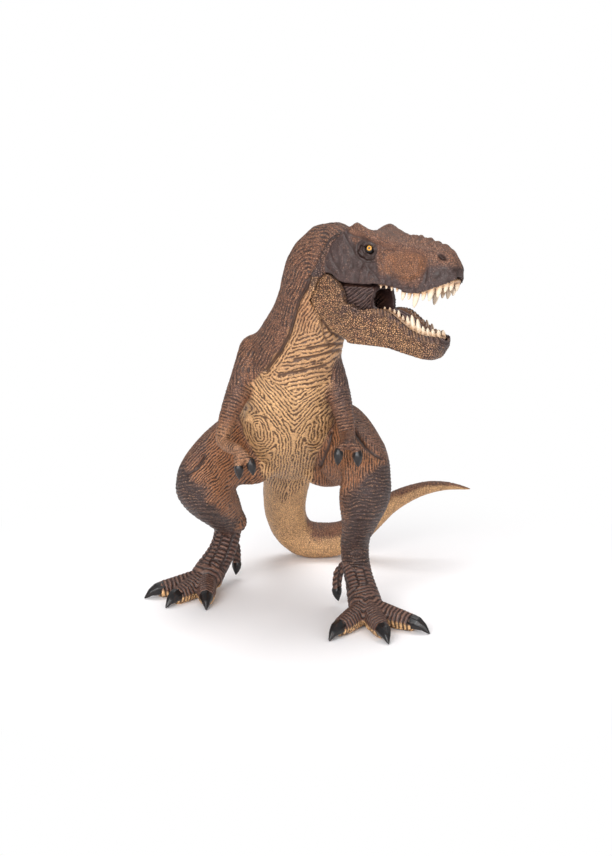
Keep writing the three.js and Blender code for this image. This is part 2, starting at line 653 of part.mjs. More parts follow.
// Skull sections: lip, cheek, brow and crown, as shares of the skull's sizes.
const skullShares = [
  { at: -0.249, points: [[0, 0.333], [0.444, 0.333], [0.704, 0.34], [0.763, 0.383],
    [0.704, 0.433], [0.556, 0.483], [0.296, 0.517], [0, 0.533]] },
  { at: -0.064, points: [[0, 0.317], [0.519, 0.317], [0.852, 0.333], [0.948, 0.417],
    [0.919, 0.5], [0.778, 0.583], [0.37, 0.633], [0, 0.667]] },
  { at: 0.168, points: [[0, 0.3], [0.519, 0.3], [0.889, 0.333], [0.963, 0.467],
    [0.978, 0.633], [0.859, 0.8], [0.444, 0.85], [0, 0.867]] },
  { at: 0.376, points: [[0, 0.3], [0.519, 0.3], [0.904, 0.317], [0.985, 0.467],
    [0.985, 0.733], [0.889, 0.953], [0.519, 0.933], [0, 0.933]] },
  { at: 0.585, points: [[0, 0.3], [0.519, 0.3], [0.889, 0.313], [0.963, 0.467],
    [0.933, 0.733], [0.904, 1.1], [0.556, 1.017], [0, 0.987]] },
  { at: 0.75, points: [[0, 0.317], [0.519, 0.307], [0.859, 0.313], [0.933, 0.467],
    [0.881, 0.733], [0.881, 1.1], [0.548, 1.033], [0, 0.993]] },
  { at: 0.999, points: [[0, 0.4], [0.593, 0.353], [0.815, 0.323], [0.867, 0.45],
    [0.785, 0.7], [0.83, 0.993], [0.519, 1], [0, 0.983]] },
  { at: 1.162, points: [[0, 0.467], [0.519, 0.4], [0.733, 0.343], [0.77, 0.467],
    [0.711, 0.667], [0.652, 0.92], [0.415, 0.98], [0, 0.987]] },
  { at: 1.324, points: [[0, 0.467], [0.519, 0.367], [0.696, 0.307], [0.726, 0.433],
    [0.667, 0.633], [0.563, 0.877], [0.333, 0.963], [0, 0.987]] },
  { at: 1.487, points: [[0, 0.45], [0.519, 0.333], [0.681, 0.253], [0.696, 0.4],
    [0.622, 0.617], [0.504, 0.853], [0.296, 0.947], [0, 0.977]] },
  { at: 1.621, points: [[0, 0.45], [0.519, 0.35], [0.674, 0.273], [0.674, 0.417],
    [0.593, 0.617], [0.459, 0.833], [0.267, 0.913], [0, 0.94]] },
  { at: 1.72, points: [[0, 0.467], [0.474, 0.4], [0.637, 0.327], [0.63, 0.45],
    [0.548, 0.633], [0.415, 0.82], [0.237, 0.893], [0, 0.91]] },
  { at: 1.819, points: [[0, 0.5], [0.37, 0.453], [0.533, 0.387], [0.533, 0.5],
    [0.459, 0.633], [0.341, 0.76], [0.193, 0.82], [0, 0.84]] },
  { at: 1.893, points: [[0, 0.52], [0.267, 0.493], [0.393, 0.43], [0.407, 0.52],
    [0.356, 0.613], [0.267, 0.687], [0.148, 0.727], [0, 0.733]] },
  { at: 1.942, points: [[0, 0.533], [0.119, 0.52], [0.207, 0.487], [0.222, 0.527],
    [0.2, 0.567], [0.148, 0.6], [0.089, 0.617], [0, 0.62]] },
];
const skullSize = { length: SKULL_LENGTH, width: SKULL_WIDTH, height: SKULL_HEIGHT };
const skullForm = (grow) => sectioned(skullShares, skullSize, grow);

// Jaw sections: underside, cheek, rim and the trough behind the teeth.
const jawShares = [
  { at: -0.334, points: [[0, -0.526], [0.615, -0.505], [0.923, -0.211], [0.954, 0.316],
    [0.885, 0.711], [0.692, 0.711], [0.385, 0.711], [0, 0.711]] },
  { at: 0, points: [[0, -0.684], [0.615, -0.663], [0.969, -0.263], [1, 0.211],
    [0.946, 0.711], [0.692, 0.711], [0.385, 0.711], [0, 0.711]] },
  { at: 0.334, points: [[0, -0.789], [0.615, -0.768], [0.977, -0.316], [1, 0.158],
    [0.954, 0.632], [0.692, 0.632], [0.385, 0.632], [0, 0.632]] },
  { at: 0.582, points: [[0, -0.837], [0.577, -0.816], [0.938, -0.421], [0.962, -0.105],
    [0.908, 0.137], [0.692, 0.158], [0.385, 0.158], [0, 0.158]] },
  { at: 0.771, points: [[0, -0.837], [0.538, -0.811], [0.885, -0.447], [0.915, -0.211],
    [0.862, -0.047], [0.723, -0.053], [0.385, -0.105], [0, -0.158]] },
  { at: 1.029, points: [[0, -0.832], [0.492, -0.811], [0.8, -0.474], [0.831, -0.211],
    [0.785, 0.016], [0.677, 0.005], [0.615, -0.237], [0, -0.263]] },
  { at: 1.205, points: [[0, -0.847], [0.446, -0.821], [0.723, -0.5], [0.769, -0.211],
    [0.731, 0.005], [0.623, -0.005], [0.554, -0.242], [0, -0.295]] },
  { at: 1.353, points: [[0, -0.895], [0.415, -0.874], [0.669, -0.579], [0.723, -0.316],
    [0.7, -0.137], [0.592, -0.147], [0.523, -0.379], [0, -0.432]] },
  { at: 1.529, points: [[0, -0.947], [0.385, -0.926], [0.623, -0.684], [0.677, -0.474],
    [0.662, -0.326], [0.554, -0.337], [0.485, -0.558], [0, -0.611]] },
  { at: 1.707, points: [[0, -0.989], [0.354, -0.963], [0.585, -0.763], [0.638, -0.579],
    [0.623, -0.426], [0.515, -0.437], [0.446, -0.632], [0, -0.684]] },
  { at: 1.787, points: [[0, -0.926], [0.3, -0.905], [0.508, -0.747], [0.554, -0.579],
    [0.538, -0.437], [0.431, -0.447], [0.362, -0.611], [0, -0.663]] },
  { at: 1.855, points: [[0, -0.758], [0.215, -0.747], [0.377, -0.674], [0.408, -0.558],
    [0.385, -0.447], [0.292, -0.453], [0.231, -0.547], [0, -0.579]] },
  { at: 1.898, points: [[0, -0.621], [0.092, -0.616], [0.169, -0.589], [0.192, -0.526],
    [0.169, -0.474], [0.123, -0.474], [0.092, -0.495], [0, -0.505]] },
];
const jawSize = { length: JAW_LENGTH, width: JAW_WIDTH, height: JAW_DEPTH };
const jawBulk = (grow) => sectioned(jawShares, jawSize, grow);
// The jaw's rear edge runs from the top of its round corner down to its underside.
const jawRearShares = [
  [-0.276, 0.24],
  [-0.063, -0.17],
  [0.276, -0.55],
  [0.483, -0.74],
  [0.556, -1.5],
];
// The jaw seen from its side: a round rear corner about the pin, and a rear edge that runs from
// the corner's end down to the underside. grow swells it at its rear.
function jawOutline(grow) {
  const outline = new THREE.Shape();
  const radius = JAW_PLATE_RADIUS + grow;
  const rear = jawRearShares.map(([x, z]) => new THREE.Vector2(x * CHEEK_LENGTH - grow, z * JAW_DEPTH));
  outline.moveTo(JAW_LENGTH + OVERRUN, JAW_RIM_TOP + grow);
  outline.lineTo(radius, JAW_RIM_TOP + grow);
  outline.lineTo(radius, 0);
  outline.absarc(0, 0, radius, 0, THREE.MathUtils.degToRad(JAW_REAR_ANGLE), false);
  rear.forEach((p) => outline.lineTo(p.x, p.y));
  outline.lineTo(JAW_LENGTH + OVERRUN, rear[rear.length - 1].y);
  outline.closePath();
  const options = { depth: 2 * JAW_WIDTH, bevelEnabled: false, curveSegments: 12 };
  return new THREE.ExtrudeGeometry(outline, options).translate(0, 0, -JAW_WIDTH).rotateX(Math.PI / 2);
}
// The pin's ends stop inside the jaw's plates, under their skin.
const pinForm = (grow) =>
  new THREE.CylinderGeometry(PIN_RADIUS + grow, PIN_RADIUS + grow, PIN_LENGTH + 2 * grow, SMALL_SIDES);

// The space that the jaw needs in its neighbours as it swings about its pin.
function jawRoom() {
  const grown = common(jawBulk(SWING_GAP), jawOutline(SWING_GAP));
  const turns = [JAW_OPEN, -JAW_CLOSE / 2, -JAW_CLOSE].map(THREE.MathUtils.degToRad);
  return joined(...turns.map((turn) => grown.clone().rotateY(turn)));
}
const jawWheel = () =>
  new THREE.CylinderGeometry(
    JAW_PLATE_RADIUS + SWING_GAP,
    JAW_PLATE_RADIUS + SWING_GAP,
    2 * SKULL_WIDTH,
    2 * LIMB_SIDES,
  );

// Cheek lining: the block between the jaw's plates that carries the pin, hollow in front.
// Rows of [forward, half width, underside, top].
const cheekShares = [
  [-0.12, 0.8, -0.5, 0.5],
  [0.1, 1.0, -0.8, 0.9],
  [0.5, 1.0, -0.82, 1.0],
  [1.0, CHEEK_TAPER, -0.3, 1.0],
];
const throatShares = [
  [0.3, 0.8, -0.5, 0.6],
  [0.6, 0.98, -0.68, 1.0],
  [1.0, CHEEK_TAPER, -0.3, 1.0],
  [1.3, CHEEK_TAPER, -0.2, 1.0],
];
function headRings(shares) {
  return shares.map(([forward, half, low, high]) =>
    ring(
      new THREE.Vector3(forward * CHEEK_LENGTH, 0, ((low + high) / 2) * CHEEK_HEIGHT),
      (half * CHEEK_WIDTH) / 2,
      ((high - low) / 2) * CHEEK_HEIGHT,
    ),
  );
}
const cheekStyle = { sides: ARM_SIDES, steps: 2, square: BOXY };
const cheekForm = (grow) =>
  limb(headRings(cheekShares), { ...cheekStyle, grow, first: 0.2, last: 0.05 });
const throatForm = () =>
  limb(headRings(throatShares), { ...cheekStyle, grow: -CHEEK_WALL, first: 0.4 });

// The slot between the jaw's plates clears the lining's lowest corner when the mouth is shut.
const shutAngle = THREE.MathUtils.degToRad(JAW_CLOSE);
const slotDepth =
  SWING_GAP +
  Math.max(
    ...cheekShares.map(
      ([forward, , low]) =>
        forward * CHEEK_LENGTH * Math.sin(shutAngle) - low * CHEEK_HEIGHT * Math.cos(shutAngle),
    ),
  );
function jawSlot() {
  const front = CHEEK_LENGTH + 2 * SWING_GAP + CHEEK_HEIGHT * Math.sin(shutAngle);
  const half = CHEEK_WIDTH / 2 + SWING_GAP;
  const frontHalf = half * CHEEK_TAPER;
  const outline = new THREE.Shape([
    new THREE.Vector2(-OVERRUN, -half),
    new THREE.Vector2(CHEEK_LENGTH / 2, -half),
    new THREE.Vector2(front, -frontHalf),
    new THREE.Vector2(front, frontHalf),
    new THREE.Vector2(CHEEK_LENGTH / 2, half),
    new THREE.Vector2(-OVERRUN, half),
  ]);
  const slot = new THREE.ExtrudeGeometry(outline, { depth: slotDepth + OVERRUN, bevelEnabled: false });
  return slot.translate(0, 0, -slotDepth);
}

// Teeth stand along a gum that follows the jaw's rim. Rows of [forward, half width, height].
const upperArchShares = [
  [1.06, 0.79, 0.36],
  [1.162, 0.733, 0.38],
  [1.324, 0.696, 0.345],
  [1.487, 0.681, 0.29],
  [1.621, 0.674, 0.31],
  [1.72, 0.637, 0.365],
  [1.819, 0.52, 0.425],
  [1.876, 0.38, 0.465],
];
const lowerArchShares = [
  [1.096, 0.77, -0.045],
  [1.205, 0.731, -0.05],
  [1.353, 0.7, -0.19],
  [1.529, 0.662, -0.38],
  [1.659, 0.635, -0.465],
  [1.761, 0.56, -0.485],
  [1.821, 0.44, -0.495],
];
// Rows of [place along half the arch, length, width].
const upperToothShares = [
  [0.03, 0.28, 0.5],
  [0.1, 0.3, 0.55],
  [0.17, 0.36, 0.6],
  [0.24, 0.36, 0.6],
  [0.33, 0.72, 0.85],
  [0.41, 0.56, 0.75],
  [0.5, 1.0, 1.1],
  [0.6, 0.58, 0.9],
  [0.69, 0.92, 1.1],
  [0.79, 0.86, 1.0],
  [0.87, 0.62, 0.8],
  [0.94, 0.66, 0.75],
];
const lowerToothShares = [
  [0.04, 0.26, 0.5],
  [0.12, 0.28, 0.55],
  [0.2, 0.34, 0.6],
  [0.28, 0.5, 0.65],
  [0.36, 0.34, 0.65],
  [0.45, 0.6, 0.75],
  [0.54, 0.98, 0.9],
  [0.64, 0.94, 0.9],
  [0.72, 0.56, 0.75],
  [0.79, 0.5, 0.75],
  [0.86, 0.5, 0.7],
  [0.94, 0.42, 0.7],
];

function archPoints(shares, size, inset) {
  const half = shares.map((place) => inHead(place, size).sub(new THREE.Vector3(0, inset, 0)));
  const mirrored = half.map((p) => new THREE.Vector3(p.x, -p.y, p.z));
  return [...half, ...mirrored.toReversed()];
}

// inset is how far inside the lip the gum's middle lies.
const upperArch = archPoints(upperArchShares, skullSize, LIP_WALL + GUM_WIDTH / 2);
const lowerArch = archPoints(lowerArchShares, jawSize, LIP_WALL + GUM_WIDTH);
const gumForm = (points, grow) => {
  const rings = points.map((p) => ring(p, GUM_WIDTH / 2, GUM_DEPTH / 2));
  return limb(rings, { sides: GUM_SIDES, steps: 1, square: BOXY, grow, first: 0.3, last: 0.3 });
};

// Blunt cones stand on the gum. way is -1 for teeth that hang and +1 for teeth that rise.
function toothRow(points, toothShares, way) {
  const path = new THREE.CatmullRomCurve3(points);
  const teeth = toothShares.flatMap(([along, length, width]) =>
    [along / 2, 1 - along / 2].map((t) => {
      const place = path.getPointAt(t);
      const reach = length * TOOTH_LENGTH + GUM_DEPTH / 2;
      const radius = (width * TOOTH_WIDTH) / 2;
      const tooth = new THREE.CylinderGeometry(radius * TOOTH_TIP_SHARE, radius, reach, TOOTH_SIDES);
      return tooth.rotateX((way * Math.PI) / 2).translate(place.x, place.y, place.z + (way * reach) / 2);
    }),
  );
  return joined(gumForm(points, 0), ...teeth);
}

// Tongue: rows of [forward, width, height, thickness].
const tongueShares = [
  [1.096, 0.95, -0.2, 1.0],
  [1.215, 1.0, -0.23, 1.0],
  [1.386, 0.96, -0.36, 0.95],
  [1.556, 0.85, -0.54, 0.85],
  [1.71, 0.6, -0.64, 0.7],
];
const tongueRings = tongueShares.map(([forward, width, height, thick]) =>
  ring(
    inHead([forward, 0, height], jawSize),
    (width * TONGUE_WIDTH) / 2,
    (thick * TONGUE_DEPTH) / 2,
  ),
);
const tongueForm = (grow) => limb(tongueRings, { sides: SMALL_SIDES, steps: 2, grow });

// Eyes, low in hollows under the brows: a place as shares of the skull's sizes.
const eyeShares = [0.895, 0.7, 0.795];
const socketShares = [0.877, 0.82, 0.745];
function onSkull([at, half, up], side) {
  return inHead([at, side * half, up], skullSize);
}
const eyeball = (side, grow) => {
  const radius = EYE_RADIUS + grow;
  return ellipsoid(onSkull(eyeShares, side), new THREE.Vector3(radius, radius, radius));
};
const eyeSocket = (side) =>
  ellipsoid(
    onSkull(socketShares, side),
    new THREE.Vector3(SOCKET_LENGTH / 2, SOCKET_DEPTH, SOCKET_HEIGHT / 2),
  );

// The neck runs on as a round peg inside the skull.
const neckPeg = (grow) => {
  const from = bodyRings[bodyRings.length - 4].place;
  const to = bodyRings[bodyRings.length - 2].place;
  const beyondEnd = to.clone().sub(from).normalize().multiplyScalar(grow);
  return bar(from, to.clone().add(beyondEnd), NECK_PEG_RADIUS + grow);
};

const intoHead = headFrame.clone().invert();
const skull = cut(
  skullForm(0),
  jawWheel(),
  cheekForm(SEAT_GAP),
  gumForm(upperArch, SEAT_GAP),
  eyeSocket(-1),
  eyeSocket(1),
  eyeball(-1, SEAT_GAP),
  eyeball(1, SEAT_GAP),
  moved(neckPeg(SEAT_GAP), intoHead),
);
const lowerJaw = cut(
  common(jawBulk(0), jawOutline(0)),
  jawSlot(),
  pinForm(SEAT_GAP),
  gumForm(lowerArch, SEAT_GAP),
  tongueForm(SEAT_GAP),
);
const cheekLining = cut(cheekForm(0), throatForm(), pinForm(SEAT_GAP));

const trunk = limb(bodyRings, { sides: BODY_SIDES, steps: 2, ends: roundEnd });
const neckAndTrunk = cut(trunk, moved(skullForm(SEAT_GAP), headFrame));
const body = cut(
  joined(neckAndTrunk, neckPeg(0)),
  moved(jawRoom(), headFrame),
  moved(cheekForm(SEAT_GAP), headFrame),
  thighForm(rightThigh, SEAT_GAP),
  thighForm(leftThigh, SEAT_GAP),
  rightArm.shoulder(SEAT_GAP),
  leftArm.shoulder(SEAT_GAP),
  tailForm(SEAT_GAP),
);

function mesh(name, geometry, material) {
  const made = new THREE.Mesh(geometry, material);
  made.name = name;
  return made;
}

const figure = new THREE.Group();
figure.add(
  mesh("body", body, skins.hide),
  mesh("right_leg", makeLeg(rightThigh, rightLowerLeg), skins.hide),
  mesh("left_leg", makeLeg(leftThigh, leftLowerLeg), skins.hide),
  mesh("right_foot", rightFoot.foot, skins.hide),
  mesh("left_foot", leftFoot.foot, skins.hide),
  mesh("tail", cut(tailForm(0), ground()), skins.hide),
  mesh("right_arm", rightArm.arm, skins.hide),
  mesh("left_arm", leftArm.arm, skins.hide),
);
function addClaws(side, limbName, claws) {
  Object.entries(claws).forEach(([name, claw]) => {
    figure.add(mesh(`${side}_${name}${limbName}_claw`, cut(claw(0), ground()), skins.claw));
  });
}
addClaws("right", "", rightFoot.claws);
addClaws("left", "", leftFoot.claws);
addClaws("right", "_finger", rightArm.claws);
addClaws("left", "_finger", leftArm.claws);

const head = new THREE.Group();
head.applyMatrix4(headFrame);
head.add(
  mesh("skull", skull, skins.mask),
  mesh("lower_jaw", lowerJaw, skins.belly),
  mesh("cheek_lining", cheekLining, skins.mouth),
  mesh("upper_teeth", toothRow(upperArch, upperToothShares, -1), skins.tooth),
  mesh("lower_teeth", toothRow(lowerArch, lowerToothShares, 1), skins.tooth),
  mesh("tongue", tongueForm(0), skins.tongue),
  mesh("jaw_pin", pinForm(0), skins.steel),
  mesh("right_eye", eyeball(-1, 0), skins.eye),
  mesh("left_eye", eyeball(1, 0), skins.eye),
);
figure.add(head);

// The part's origin is on the ground, under the middle of the figure's box.
const part = new THREE.Group();
part.add(figure);
part.updateMatrixWorld(true);
const box = new THREE.Box3().setFromObject(part, true);
const middle = box.getCenter(new THREE.Vector3());
figure.position.set(-middle.x, -middle.y, -box.min.z);

export default part;
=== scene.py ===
"""Toy dinosaur figure: soft vinyl mouldings with a hand-painted finish.

Every skin is built round the part's fixed frame. The glued mouldings are merged into one smooth
hide, wrinkled and scaled, and then parted again along their glue lines. Lengths in the code are
millimetres; meshes are written in metres.
"""

import itertools
import json
import math

import bmesh
import bpy
import numpy as np
from bpy.props import FloatProperty, FloatVectorProperty, PointerProperty
from bpy.types import Operator, Panel, PropertyGroup
from mathutils import Matrix, Vector
from mathutils.bvhtree import BVHTree
from mathutils.kdtree import KDTree


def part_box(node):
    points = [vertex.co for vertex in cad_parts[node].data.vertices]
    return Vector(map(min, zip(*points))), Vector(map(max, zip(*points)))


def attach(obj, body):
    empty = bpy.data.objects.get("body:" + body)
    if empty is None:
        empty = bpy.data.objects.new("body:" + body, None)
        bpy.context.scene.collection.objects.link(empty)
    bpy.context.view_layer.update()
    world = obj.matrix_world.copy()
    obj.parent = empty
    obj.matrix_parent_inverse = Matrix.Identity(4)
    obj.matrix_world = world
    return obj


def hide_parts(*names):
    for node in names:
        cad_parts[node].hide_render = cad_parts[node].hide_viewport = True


bl_info = {
    "name": "Toy Dinosaur Figure",
    "version": (1, 0, 0),
    "blender": (4, 5, 0),
    "location": "3D View > Sidebar > Dinosaur",
    "description": "Skins and paints a moulded toy dinosaur round its fixed frame",
    "category": "Object",
}

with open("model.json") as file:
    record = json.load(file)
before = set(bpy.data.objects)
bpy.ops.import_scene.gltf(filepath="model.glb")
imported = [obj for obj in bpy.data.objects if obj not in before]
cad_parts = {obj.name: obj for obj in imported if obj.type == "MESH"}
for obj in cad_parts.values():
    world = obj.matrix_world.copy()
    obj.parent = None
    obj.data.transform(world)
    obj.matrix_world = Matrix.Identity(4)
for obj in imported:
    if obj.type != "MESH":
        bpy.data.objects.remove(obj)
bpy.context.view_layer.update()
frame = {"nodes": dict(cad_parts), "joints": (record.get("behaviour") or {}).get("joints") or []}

MM = 0.001
UP = np.array((0.0, 0.0, 1.0))

# The head's own frame: its origin is the jaw's hinge.
JAW_JOINT = frame["joints"][0]
HINGE = np.array(JAW_JOINT["pos_m"]) / MM
LEFT = np.array(JAW_JOINT["axis"])
AHEAD = np.cross(LEFT, UP) / np.linalg.norm(np.cross(LEFT, UP))
CROWN = np.cross(AHEAD, LEFT)
HEAD_AXES = np.array((AHEAD, LEFT, CROWN))

GLUED = ("skull", "right_arm", "left_arm", "right_foot", "left_foot", "right_leg", "left_leg", "tail")
HIDE = ("body", *GLUED)


def linear(code):
    """An sRGB hex colour as linear red, green and blue."""
    shares = (int(code[i : i + 2], 16) / 255 for i in (1, 3, 5))
    return tuple(s / 12.92 if s <= 0.04045 else ((s + 0.055) / 1.055) ** 2.4 for s in shares)


def length(name, description, default):
    """A length property, with its default given in millimetres."""
    return FloatProperty(name=name, description=description, default=default * MM, unit="LENGTH", precision=5)


def colour(name, description, code):
    return FloatVectorProperty(
        name=name, description=description, subtype="COLOR", min=0, max=1, default=linear(code)
    )


class DinosaurSkin(PropertyGroup):
    voxel: length("Skin grid", "Spacing of the points that the hide is rebuilt from", 0.5)
    quick_voxel: length("Quick grid", "The same spacing while trying things", 0.8)
    head_voxel: length("Head grid", "The same spacing for the jaw and the mouth", 0.4)
    small_voxel: length("Small grid", "The same spacing for teeth and claws", 0.2)
    swell: length("Swell", "How far mouldings are swollen so that neighbours merge", 0.25)
    belly_spacing: length("Belly ridges", "From one skin ridge to the next on the belly", 1.25)
    throat_spacing: length("Throat ridges", "From one skin ridge to the next on the throat", 1.7)
    ridge_height: length("Ridge height", "How far the skin ridges stand up", 0.3)
    wrinkle_spacing: length("Wrinkles", "From one wrinkle to the next on thighs and arms", 1.3)
    row_spacing: length("Scale rows", "From one row of scales to the next on the shins", 1.5)
    scute_spacing: length("Scutes", "From one broad scale to the next along a toe", 1.9)
    scute_height: length("Scute height", "How far the broad scales stand up", 0.5)
    pebble: length("Pebbles", "Width of the small round scales", 1.15)
    pebble_height: length("Pebble height", "How far the small round scales stand up", 0.16)
    pleat_spacing: length("Pleats", "From one pleat of the cheek's skin to the next", 1.5)
    pleat_depth: length("Pleat depth", "How deep the pleats of the cheek's skin are", 0.5)


class DinosaurPaint(PropertyGroup):
    back: colour("Back", "Brown of the back and flanks", "#7e523b")
    belly: colour("Belly", "Tan of the chest, belly and throat", "#e0b17c")
    warm: colour("Thigh", "Orange brown of the thighs and the cheek patch", "#925d39")
    dark: colour("Dark", "Grey brown of the brow, knees and shins", "#4b3735")
    # The wash colour also darkens the creases of folds and the nostril as painted shade.
    groove: colour("Wash", "Dark wash that settles in the grooves", "#28150e")
    brushed: colour("Dry brush", "Light paint brushed over the crests", "#ba8c69")
    stain: colour("Tan wash", "Wash in the grooves of the tan skin", "#432614")
    mouth: colour("Mouth", "Inside of the mouth", "#38231f")
    tongue: colour("Tongue", "Tongue", "#8a625a")
    tooth: colour("Tooth", "Teeth", "#dccab2")
    root: colour("Tooth root", "Teeth at the gum", "#b98d62")
    gum: colour("Gum", "Gums", "#5f4134")
    claw: colour("Claw", "Claws", "#0d0c0e")
    iris: colour("Iris", "Iris ring", "#d99a38")
    steel: colour("Steel", "Jaw pin", "#9a9a98")


class DinosaurStage(PropertyGroup):
    floor: colour("Floor", "Floor and backdrop", "#fbf9fa")
    floor_size: FloatProperty(name="Floor size", description="Width of the floor", default=6, unit="LENGTH")
    lens: FloatProperty(name="Lens", description="Focal length of the camera", default=93.5, unit="CAMERA")


# Reading and writing meshes.


def points_of(mesh):
    flat = np.empty(3 * len(mesh.vertices), np.float32)
    mesh.vertices.foreach_get("co", flat)
    return flat.reshape(-1, 3).astype(float) / MM


def normals_of(mesh):
    flat = np.empty(3 * len(mesh.vertices), np.float32)
    mesh.vertex_normals.foreach_get("vector", flat)
    return flat.reshape(-1, 3).astype(float)


def edges_of(mesh):
    flat = np.empty(2 * len(mesh.edges), np.int32)
    mesh.edges.foreach_get("vertices", flat)
    return flat.reshape(-1, 2)


def place(mesh, points):
    mesh.vertices.foreach_set("co", (points * MM).astype(np.float32).ravel())
    mesh.update()


def keep_values(mesh, values):
    """Store named numbers on the mesh's points, for its material to read."""
    for name, numbers in values.items():
        kept = mesh.attributes.get(name) or mesh.attributes.new(name, "FLOAT", "POINT")
        kept.data.foreach_set("value", np.asarray(numbers, np.float32))


def kept_values(mesh, name):
    flat = np.empty(len(mesh.vertices), np.float32)
    mesh.attributes[name].data.foreach_get("value", flat)
    return flat


def placed(name, mesh):
    made = bpy.data.objects.new(name, mesh)
    bpy.context.scene.collection.objects.link(made)
    return made


def settle(made):
    """Apply an object's modifiers."""
    bpy.context.view_layer.update()
    graph = bpy.context.evaluated_depsgraph_get()
    mesh = bpy.data.meshes.new_from_object(made.evaluated_get(graph), depsgraph=graph)
    made.modifiers.clear()
    old, made.data = made.data, mesh
    bpy.data.meshes.remove(old)
    return made


def swell_out(form, swell):
    """Weld a form's points and move them out along their normals."""
    bmesh.ops.remove_doubles(form, verts=form.verts, dist=MM / 100)
    form.normal_update()
    for vertex in form.verts:
        vertex.co += vertex.normal * swell * MM


def made_from(name, form):
    """A new object that holds a form."""
    mesh = bpy.data.meshes.new(name)
    form.to_mesh(mesh)
    form.free()
    return placed(name, mesh)


def copied(name, nodes, swell, balls=()):
    """One object that holds copies of CAD pieces, each swollen evenly, and balls of flesh."""
    form = bmesh.new()
    for piece in nodes:
        form.from_mesh(frame["nodes"][piece].data)
    swell_out(form, swell)
    for centre, reach in balls:
        shape = Matrix.LocRotScale(Vector(centre) * MM, None, Vector(reach) * MM)
        bmesh.ops.create_icosphere(form, subdivisions=4, radius=1, matrix=shape)
    return made_from(name, form)


def fineness(spacing):
    """A grid's spacing in millimetres."""
    return spacing / MM * 1


def rebuilt(made, voxel):
    """Rebuild an object's mesh on an even grid, which merges what overlaps."""
    grid = made.modifiers.new("grid", "REMESH")
    grid.mode = "VOXEL"
    grid.voxel_size = voxel * MM
    return settle(made)


def combined(made, cutter, operation):
    cut = made.modifiers.new("cut", "BOOLEAN")
    cut.operation = operation
    cut.solver = "MANIFOLD"
    cut.object = cutter
    return settle(made)


# Smoothing over a mesh's edges.


def averaged(values, edges):
    """Each point's average over its neighbours, for numbers or vectors."""
    count = len(values)
    columns = values.reshape(count, -1)
    first, second = edges.T
    degree = np.bincount(edges.ravel(), minlength=count)
    sums = [
        np.bincount(first, column[second], count) + np.bincount(second, column[first], count)
        for column in columns.T
    ]
    return (np.column_stack(sums) / np.maximum(degree, 1)[:, None]).reshape(values.shape)


def blurred(values, edges, rounds):
    for _ in range(rounds):
        values = averaged(values, edges)
    return values


def faired(points, edges, rounds):
    """Smooth away facets without shrinking the form."""
    for _ in range(rounds):
        for step in (0.55, -0.57):
            points = points + step * (averaged(points, edges) - points)
    return points


# Fields of numbers over points in space.


def smooth(value, low, high):
    """0 below low, 1 above high, and an even curve between."""
    share = np.clip((value - low) / (high - low), 0, 1)
    return share * share * (3 - 2 * share)


def hashed(corners, seed):
    """Three repeatable random shares for each cell of a grid."""
    whole = corners.astype(np.int64)
    mixed = whole[:, 0] * 73856093 ^ whole[:, 1] * 19349663 ^ whole[:, 2] * 83492791 ^ seed * 2654435761
    shares = []
    for turn in (1597334677, 3812015801, 2798796415):
        mixed = (mixed ^ (mixed >> 15)) * turn & 0xFFFFFFFF
        shares.append(mixed / 0xFFFFFFFF)
    return np.column_stack(shares)


def hump(away, width):
    """1 at nought and less to either side."""
    return np.exp(-((away / width) ** 2))


def bump(places, centre, reach):
    """A rounded bump. reach is its half size along each axis."""
    return np.exp(-(((places - centre) / reach) ** 2).sum(axis=1))


def nearest_two(points, size, seed):
    """Distances to the nearest two of scattered points, as shares of their spacing."""
    spot = points / size
    corner = np.floor(spot)
    first = np.full(len(points), 9.0)
    second = first.copy()
    for offset in itertools.product((-1, 0, 1), repeat=3):
        cell = corner + offset
        away = np.linalg.norm(cell + hashed(cell, seed) - spot, axis=1)
        second = np.minimum(second, np.maximum(first, away))
        first = np.minimum(first, away)
    return first, second


def pebbled(points, size, seed):
    """Rounded scales: 1 on their tops and 0 in the grooves between them."""
    first, second = nearest_two(points, size, seed)
    return smooth(second - first, 0, 0.4)


def cloudy(points, size, seed):
    """Soft noise from -1 to 1."""
    spot = points / size
    corner = np.floor(spot)
    share = spot - corner
    share = share * share * (3 - 2 * share)
    total = np.zeros(len(points))
    for offset in itertools.product((0, 1), repeat=3):
        weight = np.prod(np.where(offset, share, 1 - share), axis=1)
        total += weight * hashed(corner + offset, seed)[:, 0]
    return 2 * total - 1


def away_from(points, route):
    """Distance of each point from a route of straight stretches, and how far along it lies."""
    nearest = np.full(len(points), np.inf)
    along = np.zeros(len(points))
    walked = 0.0
    for start, end in itertools.pairwise(np.asarray(route, float)):
        stretch = end - start
        size = np.linalg.norm(stretch)
        share = np.clip((points - start) @ stretch / size**2, 0, 1)
        away = np.linalg.norm(points - start - share[:, None] * stretch, axis=1)
        closer = away < nearest
        along = np.where(closer, walked + share * size, along)
        nearest = np.where(closer, away, nearest)
        walked += size
    return nearest, along


def folds_over(places, rows):
    """For each fold of a table, its share of every point, and its depth."""
    for route, width, depth in rows:
        yield hump(away_from(places, route)[0], width), depth


def nearest_of(fields, softness):
    """The least of several distances, with its corners rounded."""
    stacked = np.stack(fields)
    low = stacked.min(axis=0)
    return low - softness * np.log(np.exp((low - stacked) / softness).sum(axis=0))


# Where the skin's patterns run. Places are millimetres in the part's frame.

